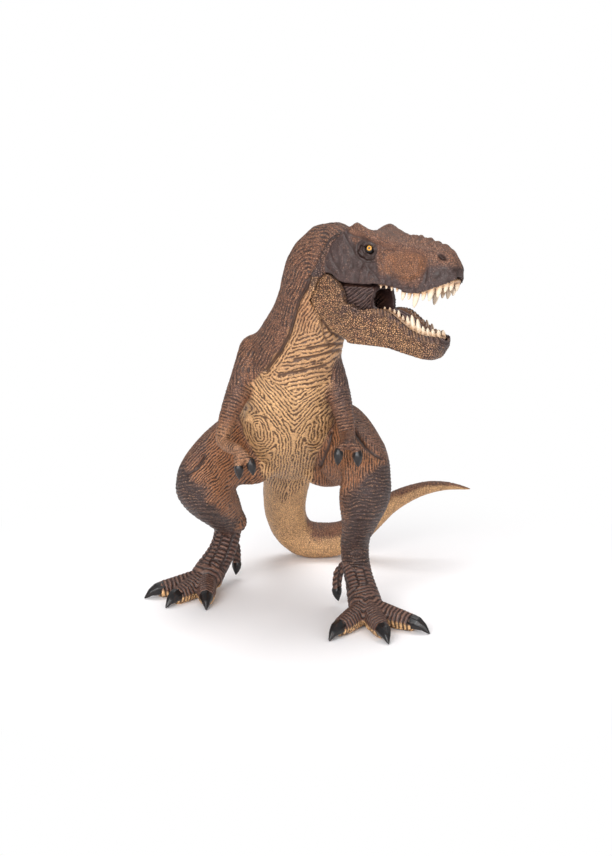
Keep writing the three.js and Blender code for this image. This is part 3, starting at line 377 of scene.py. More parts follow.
# Seen square on from the front and a little above: [sideways, up] places that the ridges run
# round, like the lines of a fingerprint.
FRONT_TILT = math.radians(13)
BELLY_PLACE = (-42.0, 88.0)  # the front view's zero: its place back and up
NECK_CORES = (((0, 59), (-3, 53), (-7, 47), (-9.5, 39), (-14, 32), (-20, 24)),)
THROAT_CORES = (((-14, 24), (-4, 25.5), (6, 28), (15, 34)),)
BELLY_CORES = (
    ((-28, 22), (-22, 14.5), (-15, 6.5), (-10, 0), (-8, -6), (-9, -18), (-13, -36)),  # right collar
    ((10, 14), (2, 8), (-4, 2), (-6.5, -2), (-8, -6), (-9, -18), (-13, -36)),  # left collar
    ((-23.5, 1), (-22.5, -4)),  # right oval
    ((1, 2), (0, -4)),  # left oval
)
# Where the throat's folds meet the belly's ridges: rows of [sideways, up].
THROAT_FOOT = np.array(((-30, 27), (-20, 20.5), (-7.6, 14.6), (8, 18.5), (14, 23)))
# The tan paint's edges in the same view: rows of [up, right edge, left edge].
TAN_EDGES = np.array(
    ((-60, -22, -2), (-34, -21, -4), (-20, -26, 4), (-8, -30, 5), (8, -31, 8.5), (18, -27, 8), (25, -19, 7.5),
     (29, -15.5, 10.5), (33, -12.4, 15.5), (38, -9.6, 18), (47, -7.3, 14), (55, -4, 4), (60, -2, -2))
)

# Folds in the skin: a route, its half width and its depth.
FOLDS = (
    (((-1.2, -49.7, 152.7), (-2.8, -49.1, 148), (-6, -46.7, 141.9), (-7.3, -45.6, 136.7),
      (-9.6, -44.4, 127.9), (-13.5, -42.1, 120.2), (-19.4, -37.1, 111.2)), 0.8, 1.0),
    (((0.5, -49.8, 146), (3, -50, 139), (4, -47, 132), (5, -45, 126.5), (7.5, -42.4, 123)), 0.7, 0.5),
)

# Folds that show from the front only, in the front view: a route, its half width and its depth.
FRONT_FOLDS = (
    (((8.1, -2.5), (6.7, -8), (4.9, -12.6), (3.2, -17)), 0.7, 1.1),  # between belly and left thigh
    (((17.2, -1.3), (19.5, -4.4), (22.2, -8), (26.4, -11.3), (29.5, -13)), 0.8, 1.0),  # left haunch
    (((-46, -12), (-49.5, -17.5), (-54, -20)), 0.8, 0.6),  # above the right knee
    (((4, 44), (7.7, 39.2), (14.2, 36.3)), 0.6, 0.5),  # the throat's folds under the jaw
    (((-2.5, 32.6), (6.2, 34.1), (13.5, 35.2)), 0.6, 0.55),
    (((-7.6, 28.2), (1.8, 29.7), (11.3, 32.6)), 0.6, 0.5),
    (((-14.2, 21.7), (-4.7, 23.5), (5.5, 26)), 0.6, 0.5),
)
# Where the dark of each shin meets the warm brown, in the front view: rows of [up, side].
RIGHT_KNEE = np.array(((-43.6, -32.4), (-38.2, -37.9), (-30.9, -45.2), (-25.4, -47), (-19, -54.3),
                       (-10, -62)))
LEFT_KNEE = np.array(((-38, 12.2), (-29, 13.6), (-24.5, 17.7), (-19, 23.2), (-14.5, 30.4), (-8, 38)))

# The crest that runs back from the right brow to the rear of the head.
BROW_CREST = ((17, -57, 175), (14, -55, 172), (6.5, -48.6, 168))

# Folds on the side of the head, in its frame: a route of [ahead, up], its half width and its depth.
HEAD_FOLDS = (
    (((10.4, 29), (13.1, 24.7), (16.3, 20.2), (22, 16.5), (27.1, 12.1)), 0.6, 0.6),
    (((25, 22.5), (28.8, 17.1), (29.7, 11.5)), 0.6, 0.35),
    (((12, 29.5), (14.8, 28.3), (20.5, 27.6), (24.5, 25.6)), 0.8, 0.6),
    (((32, 11.4), (39.9, 10.6), (46.7, 13.7)), 0.5, 0.3),
    (((24.5, 25.6), (28.1, 24.6), (35, 24.2), (42.5, 24), (46, 22.2), (47.4, 18.7), (45.8, 14.3)),
     0.9, 0.3),
    (((4, 22), (6.5, 17), (10, 13)), 0.6, 0.4),
    (((0.5, 18), (3.5, 14.5), (8, 11.5)), 0.5, 0.3),
)

# The upper lip's edge seen from its side: rows of [ahead, up].
SKULL_RIM = np.array(((10, 9.6), (24, 9.7), (30, 10.3), (36, 9.2), (42, 7.6), (47, 8.2), (50.6, 9.8),
                      (54.3, 11.6), (57, 12.9), (59, 14.6)))

# The upper edge of the dark behind and under the eye, in the same view.
DARK_TOP = np.array(((0, 27), (2, 27.5), (12, 31), (14.5, 27), (17, 24), (22, 21), (26, 18.5), (29, 12.5),
                     (31, 8)))

# The edge that runs forward from the brow, as [ahead, sideways, up] places.
BROW_EDGE = ((16, 12, 32), (22.6, 10.5, 28.5), (31, 9.5, 26.5), (39, 8.5, 25.6), (47, 7, 25))

# Bumps along the nose: rows of [ahead, up, height].
NOSE_BUMPS = ((31, 29, 1.28), (34.5, 29, 1.12), (38, 29, 1.44), (42.5, 28, 1.28), (46.5, 28, 0.96),
              (50, 28, 0.8))

# The eye's middle seen from the side, as [ahead, up], and how far out its lids run round it.
EYE = (21.7, 23.7)
LID = 2.9

# The middle between the legs, sideways.
MIDLINE = -18

# Bulges under the skin: a place, its reach and how far it stands out.
BULGES = (
    ((-31.5, 19, 30), 4.5, 2.4),  # the right heel
    ((25, -2, 36), 4.5, 1.2),  # the left heel
    ((22, -4, 88), 15, 2.6),  # the left haunch
)

# Flesh added as balls, each a place and its half sizes.
WART = (-28.2, -20.5, 87)
FLESH = (
    ((-28, 9, 58.5), (12, 9, 8)),  # the thighs' undersides, where they meet the tail
    ((7, 11, 57), (13, 8.5, 8)),
    (WART, (1.5, 3, 2.2)),  # a wart beside the right arm
)

# Down the middle of each arm and along the tail.
LIMB_ROUTES = {
    "right_arm": ((-23, -21, 118), (-28, -25, 108), (-33, -30, 96), (-38, -35, 81), (-35, -40, 79),
                  (-31, -45, 79), (-30, -48, 74)),
    "left_arm": ((3, -22, 115), (8, -26, 107), (12, -31, 95), (15, -35, 83), (15, -42, 82),
                 (15, -48, 82), (15, -51, 78)),
    "tail": ((-10, 32, 63), (-12, 52, 41), (-13, 59, 29), (-11, 65, 17), (-5, 68, 10), (4, 69, 8),
             (14, 67, 10), (24, 65, 17), (35, 63, 27), (47, 62, 33), (65, 60, 37), (74, 59, 36)),
}
# Each foot's places from its ankle down the instep, and the tips of its three toes.
FEET = (
    (((-38, 25, 30), (-44, 17, 12), (-47, 13, 7)), ((-74, 2, 3), (-64, -12, 3), (-46, -16, 3))),
    (((18, -9, 30), (21, -24, 12), (23, -30, 7)), ((50, -49, 3), (32, -62, 3), (7, -58, 3))),
)


def front_view(points):
    """[sideways, up] as seen square on from the front and a little above."""
    lift = (points[:, 1] - BELLY_PLACE[0]) * math.sin(FRONT_TILT)
    return np.column_stack((points[:, 0], lift + (points[:, 2] - BELLY_PLACE[1]) * math.cos(FRONT_TILT)))


def in_head(points):
    """Points in the head's frame: ahead, left and up from the hinge."""
    return (points - HINGE) @ HEAD_AXES.T


def pieces_near(points, names):
    """For each point, which of the named CAD pieces is nearest."""
    spots, faces, owners = [], [], []
    for number, name in enumerate(names):
        mesh = frame["nodes"][name].data
        base = len(spots)
        spots += [v.co.copy() for v in mesh.vertices]
        faces += [[base + i for i in polygon.vertices] for polygon in mesh.polygons]
        owners += [number] * len(mesh.polygons)
    tree = BVHTree.FromPolygons(spots, faces)
    owners = np.array(owners)
    return owners[[tree.find_nearest(spot)[2] for spot in (points * MM).tolist()]]


# The mouldings whose facets are melted into soft forms, and the height above which all are but
# the skull. The others give way a little. The two blurs reach this many millimetres.
SOFT = ("body", "right_leg", "left_leg", "tail")
SOFT_ABOVE = 103
FIRM_GIVE = 0.1
NEAR_BLUR, FAR_BLUR = 2.77, 7.59

# Rounds of blur that soften a moulding's edge where it meets the next.
SEAM_ROUNDS = 8


def melted(mesh, owners, voxel):
    """The hide's points, with facets melted away and the form as a whole kept."""
    points, edges = points_of(mesh), edges_of(mesh)
    soft = np.isin(owners, [HIDE.index(name) for name in SOFT]) | (points[:, 2] > SOFT_ABOVE)
    soft &= owners != HIDE.index("skull")
    give = blurred(np.where(soft, 1.0, FIRM_GIVE), edges, SEAM_ROUNDS)[:, None]
    near, far = (round((reach / voxel) ** 2) for reach in (NEAR_BLUR, FAR_BLUR))
    smoothed = points + give * (blurred(points, edges, near) - points)
    return smoothed + give * blurred(points - smoothed, edges, far)


# What the painted vinyl reads at each point.
VINYL_VALUES = (
    "tan", "warm", "dark", "east", "north", "lines", "pebbles", "crests", "grooves", "mouth", "sole"
)


class Skin:
    """A rebuilt skin: its points, normals and edges, and how it lies in the head's frame and in the
    front view."""

    def __init__(self, made, swell, rounds, points=None):
        mesh = made.data
        self.made, self.edges = made, edges_of(mesh)
        points = faired(points_of(mesh) if points is None else points, self.edges, rounds)
        place(mesh, points)
        points = points - normals_of(mesh) * swell
        place(mesh, points)
        self.points, self.normals, self.size = points, normals_of(mesh), len(points)
        self.head, self.head_normals = in_head(points), self.normals @ HEAD_AXES.T
        self.side = np.abs(self.head[:, 1])
        self.front = front_view(points)

    def finish(self, height, values):
        """Raise the skin's relief and keep its paint's numbers."""
        place(self.made.data, self.points + self.normals * height[:, None])
        keep_values(self.made.data, values)
        return self.made

    def finish_vinyl(self, height, **values):
        """The same for painted vinyl. What isn't named is nought."""
        nought = np.zeros(self.size)
        return self.finish(height, {name: values.get(name, nought) for name in VINYL_VALUES})


class Hide(Skin):
    """The hide of all glued mouldings, with every point's soft share of each region."""

    def __init__(self, made, swell, voxel):
        owners = pieces_near(points_of(made.data), HIDE)
        super().__init__(made, swell, round(16 / voxel), melted(made.data, owners, voxel))
        share = {}
        for number, name in enumerate(HIDE):
            share[name] = blurred((owners == number).astype(float), self.edges, SEAM_ROUNDS)
        self.share, self.skull, self.tail = share, share["skull"], share["tail"]
        height = self.points[:, 2]
        # The skin of each shoulder runs on from the body.
        arms = share["right_arm"] + share["left_arm"]
        shoulder = arms * smooth(height, 99, 106)
        self.arms, self.body = arms - shoulder, share["body"] + shoulder
        self.right = self.points[:, 0] < MIDLINE
        self.inner = np.where(self.right, 1, -1) * self.normals[:, 0]
        # The shin's skin runs down over the ankle.
        ankle = np.where(self.right, 27, 21) + 1.5 * cloudy(self.points, 3, 19)
        limbs = share["right_leg"] + share["left_leg"] + (share["right_foot"] + share["left_foot"])
        self.feet = limbs * smooth(ankle - height, -1.2, 1.2)
        self.legs = limbs * smooth(height - ankle, -1.2, 1.2)
        self.shin = shin_share(self)
        self.tan = np.clip(belly_share(self) * (self.body + self.tail) + self.tail * tail_belly(self), 0, 1)
        self.flap = (1 - self.skull) * np.clip(self.body, 0, 1) * head_flap(self)
        self.cheek = self.body * jaw_root(self) * (1 - self.flap)
        # The belly's own ridges end where the tail's underside begins, and the wart has none.
        side, up = self.front.T
        above_tail = up - np.interp(side, (-21.5, -13.3, -2.4), (-23.5, -35, -25))
        belly = self.tan * (self.body + self.tail * smooth(above_tail, -0.6, 0.6)) * (1 - self.cheek)
        self.belly = np.clip(belly, 0, 1)
        self.wart = smooth(3.6 - np.linalg.norm((self.points - WART) * (1, 0.8, 1), axis=1), 0, 1.2)


def ridges(points, *patterns):
    """Blend ridge patterns, each a share and a count of ridges, into a wave's two parts."""
    # Ridges fork and end where the slow turn winds round a point.
    across, over = 1.4 * cloudy(points, 4.5, 91), 1 + 1.4 * cloudy(points, 4.5, 92)
    turns = [(share, 2 * np.pi * count + np.arctan2(across, over)) for share, count in patterns]
    east = sum(share * np.cos(turn) for share, turn in turns)
    north = sum(share * np.sin(turn) for share, turn in turns)
    size = np.maximum(np.hypot(east, north), 1e-6)
    return east / size, north / size


def belly_share(skin):
    """1 on the tan paint of throat, chest, belly and the tail's underside."""
    side, up = skin.front.T
    right, left = (np.interp(up, TAN_EDGES[:, 0], column) for column in TAN_EDGES.T[1:])
    ragged = 1.2 * cloudy(skin.points, 4, 3)
    inside = smooth(side - right + ragged, -1.5, 1.5) * smooth(left - side + ragged, -1.5, 1.5)
    facing = smooth(-skin.normals[:, 1] - 0.5 * skin.normals[:, 2], -0.15, 0.25)
    return inside * facing * smooth(-up, -58, -52)


def belly_ridges(hide, settings):
    """The fingerprint of neck, throat and belly: a share and a count of ridges for each."""
    side, up = hide.front.T
    drift = 0.55 * cloudy(hide.points, 6, 5) + 0.25 * cloudy(hide.points, 2.2, 6)
    throat = smooth(up - np.interp(side, *THROAT_FOOT.T), -0.8, 0.8)
    crease, _ = away_from(hide.front, NECK_CORES[0])
    neck = np.maximum(smooth(up - 39, -2, 2) * smooth(4 - side, -2, 2), smooth(4 - crease, -1, 1)) * throat
    groups = (
        (neck, NECK_CORES, settings.belly_spacing),
        (throat - neck, THROAT_CORES, settings.throat_spacing),
        (1 - throat, BELLY_CORES, settings.belly_spacing),
    )
    patterns = []
    for weight, cores, spacing in groups:
        fields = [away_from(hide.front, route)[0] for route in cores]
        patterns.append((hide.belly * weight, (nearest_of(fields, 0.8) + drift) / (spacing / MM)))
    return patterns


def hide_ridges(hide, settings):
    """The wave that ridges and wrinkles follow: along neck and flanks, in rings round the arms, and
    in rows on legs and tail."""
    points, tan, legs, shin, tail = hide.points, hide.tan, hide.legs, hide.shin, hide.tail
    side, up = hide.front.T
    wander = cloudy(points, 5, 7)
    wrinkle = settings.wrinkle_spacing / MM
    along = {name: away_from(points, route)[1] for name, route in LIMB_ROUTES.items()}
    crease, _ = away_from(points, FOLDS[0][0])
    flank = (crease + 1.2 * wander) / (1.3 * wrinkle)
    nearer_right = hide.share["right_arm"] > hide.share["left_arm"]
    rings = (np.where(nearer_right, along["right_arm"], along["left_arm"]) + 0.4 * wander) / wrinkle
    slant = (np.where(hide.right, (side - up) / math.sqrt(2), side) + 0.8 * wander) / (0.85 * wrinkle)
    outside = (points[:, 2] + 0.8 * points[:, 1] + 1.5 * wander) / wrinkle
    rows = (points[:, 2] + 0.25 * points[:, 1] + 0.9 * wander) / (settings.row_spacing / MM)
    tail_bands = (along["tail"] + 0.6 * wander) / wrinkle
    fan = (side + 0.5 * wander) / wrinkle
    ahead_facing = smooth(-hide.normals[:, 1], 0.1, 0.6)
    return ridges(
        points,
        *belly_ridges(hide, settings),
        ((1 - tan) * hide.body, flank),
        (hide.arms, rings),
        (legs * (1 - shin) * ahead_facing, slant),
        (legs * (1 - shin) * (1 - ahead_facing), outside),
        (legs * shin, rows),
        (tail * (1 - tan), tail_bands),
        (tail * tan * (1 - hide.belly), fan),
    )


def line_share(hide):
    """How strongly the ridges and wrinkles stand: broken here and there, and none on head and feet."""
    breaks = smooth(cloudy(hide.points, 2.2, 11) + 0.4 * cloudy(hide.points, 0.9, 12), -0.45, 0.25)
    tan, belly = hide.tan, hide.belly
    lines = belly * (0.8 + 0.2 * breaks) + (1 - tan) * hide.body * (0.3 + 0.7 * breaks) * (1 - hide.flap)
    lines = lines + hide.arms * (0.5 + 0.4 * breaks) + hide.legs * (0.68 + 0.32 * breaks)
    lines = lines + hide.tail * (0.5 * (1 - tan) + 0.35 * tan * (1 - belly)) * (0.3 + 0.7 * breaks)
    return np.clip(lines, 0, 1) * (1 - hide.skull) * (1 - hide.feet) * (1 - hide.wart)


def pebble_share(hide):
    """How strongly the small round scales stand."""
    tan, belly = hide.tan, hide.belly
    pebbles = 0.5 * hide.skull + 0.5 * hide.flap + hide.cheek
    pebbles = pebbles + hide.tail * (1 - belly) * (0.5 - 0.05 * tan) + 0.3 * belly
    pebbles = pebbles + 0.55 * hide.body * (1 - tan) + (0.3 + 0.3 * hide.shin) * hide.legs + 0.4 * hide.arms
    return np.clip(pebbles, 0, 1) * (1 - hide.feet)


def bulges_and_folds(hide):
    """How far bulges raise the skin and folds sink it, and where a fold's crease is darkened with wash and
    painted shade.
    """
    height, hollow = np.zeros(hide.size), np.zeros(hide.size)
    # hollow is the darkening of the folds' creases: wash and painted shade.
    for fold, depth in folds_over(hide.points, FOLDS):
        height = height - depth * fold * hide.body
        hollow = np.maximum(hollow, min(depth, 1) * fold * hide.body)
    facing = smooth(-hide.normals[:, 1], 0, 0.3) * (hide.body + hide.legs)
    for fold, depth in folds_over(hide.front, FRONT_FOLDS):
        height = height - depth * fold * facing
        hollow = np.maximum(hollow, 0.8 * fold * facing)
    for centre, reach, rise in BULGES:
        height = height + rise * hump(np.linalg.norm(hide.points - centre, axis=1), reach)
    crest_away, _ = away_from(hide.points, BROW_CREST)
    return height + 0.5 * hump(crest_away, 1.8) * (hide.side > 4), hollow


def dusted_and_shaded_share(hide, warm):
    """1 where dark paint is dusted: on the shoulders and a little on the thighs' outsides, and painted shade
    over the left arm, on the side away from the light.
    """
    side, up = hide.front.T
    shoulders = 0.5 * (hide.body * (1 - hide.tan) + hide.arms) * smooth(np.abs(side + 10) - 17, 0, 5)
    shoulders = shoulders * smooth(up, 4, 14) * smooth(34 - up, 0, 8)
    # The left arm's dark share is painted shade.
    return shoulders + 0.3 * hide.legs * (1 - warm) + 0.35 * hide.share["left_arm"]


def build_hide(settings):
    """Rebuild the glued mouldings as one hide, raise its relief and note where its paints lie."""
    voxel = settings.voxel / MM
    swell = settings.swell / MM
    hide = Hide(rebuilt(copied("hide", HIDE, swell, FLESH), voxel), swell, voxel)
    points, head_skin = hide.points, hide.skull + hide.flap
    east, north = hide_ridges(hide, settings)
    lines, pebbles = line_share(hide), pebble_share(hide)
    stone = pebbled(points, settings.pebble / MM, 17)
    scutes = scute_bands(hide, settings.scute_spacing / MM)
    bumps, socket, head_grooves = head_relief(hide)
    raised, hollow = bulges_and_folds(hide)

    ridge = 1 - (0.5 - 0.5 * east) ** 1.7
    height = settings.ridge_height / MM * lines * (ridge - 0.6)
    height = height + settings.pebble_height / MM * pebbles * (stone - 0.6)
    height = height + settings.scute_height / MM * hide.feet * (scutes - 0.75)
    height = height + 0.9 * hide.flap + hide.skull * bumps + raised
    height = height * smooth(points[:, 2], 0.2, 0.9)

    warm = warm_share(hide)
    head_dark = dark_share(hide) * (1 - 0.3 * hide.skull * warm)
    head_dark = np.maximum(head_dark, 0.95 * hide.flap + hide.skull * socket)
    dark = head_dark + 0.7 * hide.cheek * smooth(hide.head[:, 2], 3, 9) + dusted_and_shaded_share(hide, warm)
    # The dark of the head is leathery, and the wash is left thick in it.
    dim = smooth(head_dark, 0.3, 1)
    leather = cloudy(hide.head * (1, 1, 0.55), 1.5, 56)
    height = height + 0.35 * leather * dim * head_skin
    thick = np.maximum(0.55 * smooth(-leather, -0.1, 0.6) * dim, (dim + 0.9 * warm) * (0.36 - 0.34 * stone))
    plain = head_skin * np.clip(head_dark + 0.8 * warm, 0, 1)
    crests = np.maximum(lines, pebbles) * (1 - 0.45 * plain) + 0.35 * hide.feet
    # Besides the wash, the grooves hold painted shade: in the folds' creases and, through the head's grooves,
    # in its folds and nostril.
    grooves = hide.feet * (1 - scutes) + head_skin * np.maximum(head_grooves, thick) + hollow
    # The right forearm, on the lit side, is made paler with tan as painted light.
    painted_light_forearm = hide.share["right_arm"] * smooth(92 - points[:, 2], 0, 8)
    return hide.finish_vinyl(
        height,
        tan=np.clip(hide.tan + 0.8 * hide.cheek + 0.25 * painted_light_forearm, 0, 1),
        warm=warm,
        dark=np.clip(dark, 0, 1),
        east=east,
        north=north,
        lines=lines,
        pebbles=pebbles,
        crests=np.clip(crests + hide.wart, 0, 1),
        grooves=np.clip(grooves, 0, 1),
        mouth=palate_share(hide) * hide.skull,
        sole=hide.feet * sole_share(hide),
    )


def tail_belly(skin):
    """1 on the tan of the tail's underside and its front."""
    ragged = 0.25 * cloudy(skin.points, 3, 25)
    facing = -skin.normals[:, 2] - 0.45 * skin.normals[:, 1] + ragged
    return smooth(facing, -0.25, 0.3) * smooth(60 - skin.points[:, 2], 0, 10)


def head_flap(skin):
    """1 where the dark skin of the head's rear lies over the neck."""
    ahead, _, up = skin.head.T
    rear = np.interp(up, (10, 17, 25.5, 31), (-3.5, -0.3, 2.2, 6))
    return smooth(ahead - rear, -0.5, 0.5) * smooth(up - 10.6, -0.4, 0.4) * smooth(skin.side, 5, 8)


def jaw_root(skin):
    """1 where the neck's skin runs on from the jaw's cheek."""
    ahead, _, up = skin.head.T
    rear = np.interp(up, (-12, 3, 10), (-0.8, -2.4, -3.6))
    return smooth(ahead - rear, -1, 1) * smooth(11 - up, 0, 1) * smooth(up, -14, -6) * smooth(skin.side, 5, 9)


def shin_share(hide):
    """1 on the knees and shins."""
    side, up = hide.front.T
    ragged = cloudy(hide.points, 5, 21)
    low = smooth(np.where(hide.right, 60, 70) - hide.points[:, 2] + 3 * ragged, -5, 5)
    right, left = (np.interp(up, *knee.T) for knee in (RIGHT_KNEE, LEFT_KNEE))
    outward = np.where(hide.right, right - side, side - left)
    facing = smooth(-hide.normals[:, 1], -0.1, 0.3)
    return low + facing * (smooth(outward + 3.5 * ragged, -3.5, 3.5) - low)


def warm_share(hide):
    """1 on the orange brown of the thighs' fronts, the insides of the shins and the snout's sides."""
    ahead, _, up = hide.head.T
    side, height = hide.front.T
    share, shin, inner = hide.share, hide.shin, hide.inner
    oval = np.hypot((ahead - 38) / 12, (up - 18.2) / 7)
    patch = smooth(1 - oval + 0.15 * cloudy(hide.points, 2, 23), 0, 0.35)
    patch = 0.95 * patch * hide.skull * smooth(hide.side, 4, 6)
    front = smooth(-hide.normals[:, 1] + 0.3 * inner, -0.2, 0.4)
    ragged = 2 * cloudy(hide.points, 4, 27)
    right_edge = side - np.interp(height, (-20, -12, 6), (-54, -48, -40))
    left_edge = np.interp(height, (-16, -11, -4, 0), (36, 27, 20, 16)) - side
    haunch = np.where(hide.right, right_edge, left_edge)
    thigh = front * (1 - shin) * smooth(haunch + ragged, -2, 2)
    calf = shin * smooth(inner, 0.2, 0.8) * 0.8 + (1 - shin) * smooth(-height, 20, 30)
    warm = patch + (share["right_leg"] + share["left_leg"]) * np.maximum(thigh, calf)
    warm = warm + 0.45 * (share["right_arm"] + share["left_arm"])
    warm = warm + 0.4 * bump(hide.front, (-3.5, 47), (5, 9)) * share["body"]
    warm = warm + hide.tan * hide.body * (0.05 + 0.35 * smooth(height, 12, 26)) + 0.15 * hide.tail
    return np.clip(warm, 0, 1)


def dark_share(hide):
    """1 on the grey brown of the head's rear, its lips, the knees, shins and feet."""
    points = hide.points
    ahead, _, up = hide.head.T
    top = np.interp(ahead, *DARK_TOP.T)
    rear = smooth(top - up + 2 * cloudy(points, 4, 31), -2, 2) * smooth(hide.side, 5, 8)
    rise = up - np.interp(ahead, *SKULL_RIM.T)
    lip = smooth(3.2 - rise + 1.5 * cloudy(points, 4, 33), -2.5, 2.2)
    nose = smooth(ahead - 47 + 2.5 * cloudy(points, 4, 35), -3, 4) * smooth(19.5 - up, -2.5, 2.5)
    head = np.clip(rear + lip + nose, 0, 1)
    knee = hide.shin * (1 - 0.5 * smooth(hide.inner, 0.3, 0.9))
    return np.clip(hide.legs * knee + 0.72 * hide.feet + hide.skull * (0.22 + 0.95 * head), 0, 1)


def sole_share(skin):
    """1 on the tan pads round the foot's edge."""
    ragged = 0.3 * cloudy(skin.points, 2, 9)
    return smooth(-0.05 - skin.normals[:, 2] + ragged, -0.2, 0.25) * smooth(5.5 - skin.points[:, 2], 0, 2.5)


def palate_share(skin):
    """1 on the palate and inside the lips."""
    ahead, _, up = skin.head.T
    return smooth(-skin.head_normals[:, 2], 0.2, 0.7) * smooth(14.5 - up, -1, 2) * smooth(ahead, 4, 8)


# From one column of broad scales to the next on the instep.
SCUTE_COLUMN = 3.8


def scute_bands(skin, spacing):
    """Broad scales across each toe and instep: 1 on their crests."""
    phase = np.zeros(skin.size)
    column = phase.copy()
    nearest = np.full(skin.size, np.inf)
    for instep, tips in FEET:
        heading = np.subtract(tips[1], instep[0]) * (1, 1, 0)
        across = np.cross(heading / np.linalg.norm(heading), UP)
        for number, tip in enumerate(tips):
            away, along = away_from(skin.points, (*instep, tip))
            closer = away < nearest
            sideways = (skin.points - instep[1]) @ across
            beside = smooth(25 - along, -3, 3) * sideways / SCUTE_COLUMN
            phase = np.where(closer, along / spacing, phase)
            column = np.where(closer, beside + 0.01 * number, column)
            nearest = np.minimum(nearest, away)
    # Neighbouring columns are half a scale out of step, with a groove between them.
    step = np.floor(column + 0.5 + 0.15 * cloudy(skin.points, 3, 47))
    wave = np.sin(2 * np.pi * (phase + 0.5 * (step % 2) + 0.15 * cloudy(skin.points, 2.5, 41)))
    band = 1 - (0.5 - 0.5 * wave) ** 3.5
    between = np.abs(column + 0.5 - np.round(column + 0.5)) * SCUTE_COLUMN
    band = band * np.where(np.abs(column) > 0.2, smooth(between, 0.1, 0.5), 1)
    top = smooth(skin.normals[:, 2] - 0.4 * skin.normals[:, 1], -0.6, 0.2)
    small = pebbled(skin.points, 1.4, 43)
    return band * (0.8 + 0.2 * small) * top + (1 - top) * (0.35 + 0.65 * small)


def snout_relief(head):
    """Brow, nose bumps, cheek and lip, for points whose far side is folded onto the near one."""
    height = 1.5 * bump(head, (23, 6, 28.5), (4, 6, 3)) + 0.6 * bump(head, (12.5, 11.5, 28), 2.5)
    for ahead, up, rise in NOSE_BUMPS:
        height += rise * bump(head, (ahead, 1.8, up), (1.3, 2, 3))
    # A row of smaller bumps on each side of them, which falls and closes in towards the nose.
    for ahead in (28, 31.5, 35.5, 39.5, 43.5):
        beyond = ahead - 28
        height += 0.45 * bump(head, (ahead, 6.5 - 0.05 * beyond, 27.5 - 0.12 * beyond), 1.5)
    height += 1.1 * hump(away_from(head, BROW_EDGE)[0], 1.2)
    # The flat hollow in front of the eye has a raised edge. The head's rear swells, and its side
    # sinks behind and below the eye.
    ahead, side, up = head.T
    oval = np.hypot((ahead - 38) / 10, (up - 18.2) / 6)
    height += smooth(side, 5, 7) * (0.4 * hump(oval - 1.08, 0.16) - 0.6 * smooth(0.95 - oval, 0, 0.3))
    height += 0.5 * bump(head, (5, 11, 22), (3, 4, 4)) - 0.9 * bump(head, (14.5, 11, 17), (3.5, 4, 4))
    # The lip hangs a little lower over the middle teeth.
    rise = up - np.interp(ahead, *SKULL_RIM.T)
    return height + 0.8 * hump(rise, 1.5) * smooth(ahead, 25, 30) * smooth(44 - ahead, 0, 6)


def head_relief(skin):
    """The skull's relief, its dark eye sockets and its grooves, with painted shade in the nostril and the
    folds.
    """
    head = np.column_stack((skin.head[:, 0], skin.side, skin.head[:, 2]))
    flank, temple = smooth(skin.side, 5, 7), smooth(skin.side, 7.5, 9.5)
    nostril = bump(head + (0, 0, 0.4) * (head[:, :1] - 53), (53, 6, 23), (1.5, 3, 0.75))
    height = snout_relief(head) + 0.7 * bump(head, (52.5, 5, 24.8), (3, 3, 1.8)) - 1.7 * nostril
    # The eye's lids lie in a wrinkled dark socket.
    away = np.hypot(head[:, 0] - EYE[0], (head[:, 2] - EYE[1]) * 1.15)
    wrinkled = np.cos(2 * np.pi * (away - LID + 0.3 * cloudy(skin.points, 3, 53)) / 1.25)
    wrinkled = wrinkled * smooth(7 - away, 0, 1.5) * smooth(away, LID - 0.3, LID + 0.5)
    height += temple * (0.8 * hump(away - LID, 0.7) + 0.28 * wrinkled)
    around = np.hypot(head[:, 0] - 20.5, (head[:, 2] - 22.8) * 1.1)
    socket = temple * smooth(5.4 - around + 0.6 * cloudy(skin.points, 2, 51), -0.5, 1.2)
    # The nostril's pit is darkened as painted shade.
    grooves = socket * (0.45 - 0.35 * wrinkled) + temple * smooth(LID - away, 0, 0.8) + 2 * nostril
    # Coarse folds of the skin behind the eye and round the snout's flat side, their creases darkened with
    # wash and painted shade.
    for fold, depth in folds_over(head[:, (0, 2)], HEAD_FOLDS):
        height -= depth * fold * flank
        grooves = np.maximum(grooves, 0.9 * depth * fold * flank)
    height += 0.3 * cloudy(skin.points, 2.6, 55) * flank
    return height, socket, np.clip(grooves, 0, 1)


def mend_values(mesh, source, tree):
    """Give the points of a fresh cut the values of the hide beside them."""
    names = [kept.name for kept in source.attributes if kept.data_type == "FLOAT"]
    size = np.hypot(kept_values(mesh, "east"), kept_values(mesh, "north"))
    fresh_cut = np.flatnonzero(size < 0.9)
    nearest = [tree.find(mesh.vertices[i].co)[1] for i in fresh_cut.tolist()]
    values = {name: kept_values(mesh, name) for name in names}
    for name, numbers in values.items():
        numbers[fresh_cut] = kept_values(source, name)[nearest]
    keep_values(mesh, values)


def jaw_room():
    """The room that the jaw swings through, with a little to spare."""
    pivot = Vector(HINGE) * MM
    form = bmesh.new()
    for turn in np.radians(np.linspace(*JAW_JOINT["range_deg"], 9)):
        jaw = frame["nodes"]["lower_jaw"].data.copy()
        swing = Matrix.Rotation(turn, 4, Vector(LEFT))
        jaw.transform(Matrix.Translation(pivot) @ swing @ Matrix.Translation(-pivot))
        form.from_mesh(jaw)
        bpy.data.meshes.remove(jaw)
    swell_out(form, 0.3)
    return rebuilt(made_from("jaw_room", form), 0.5)


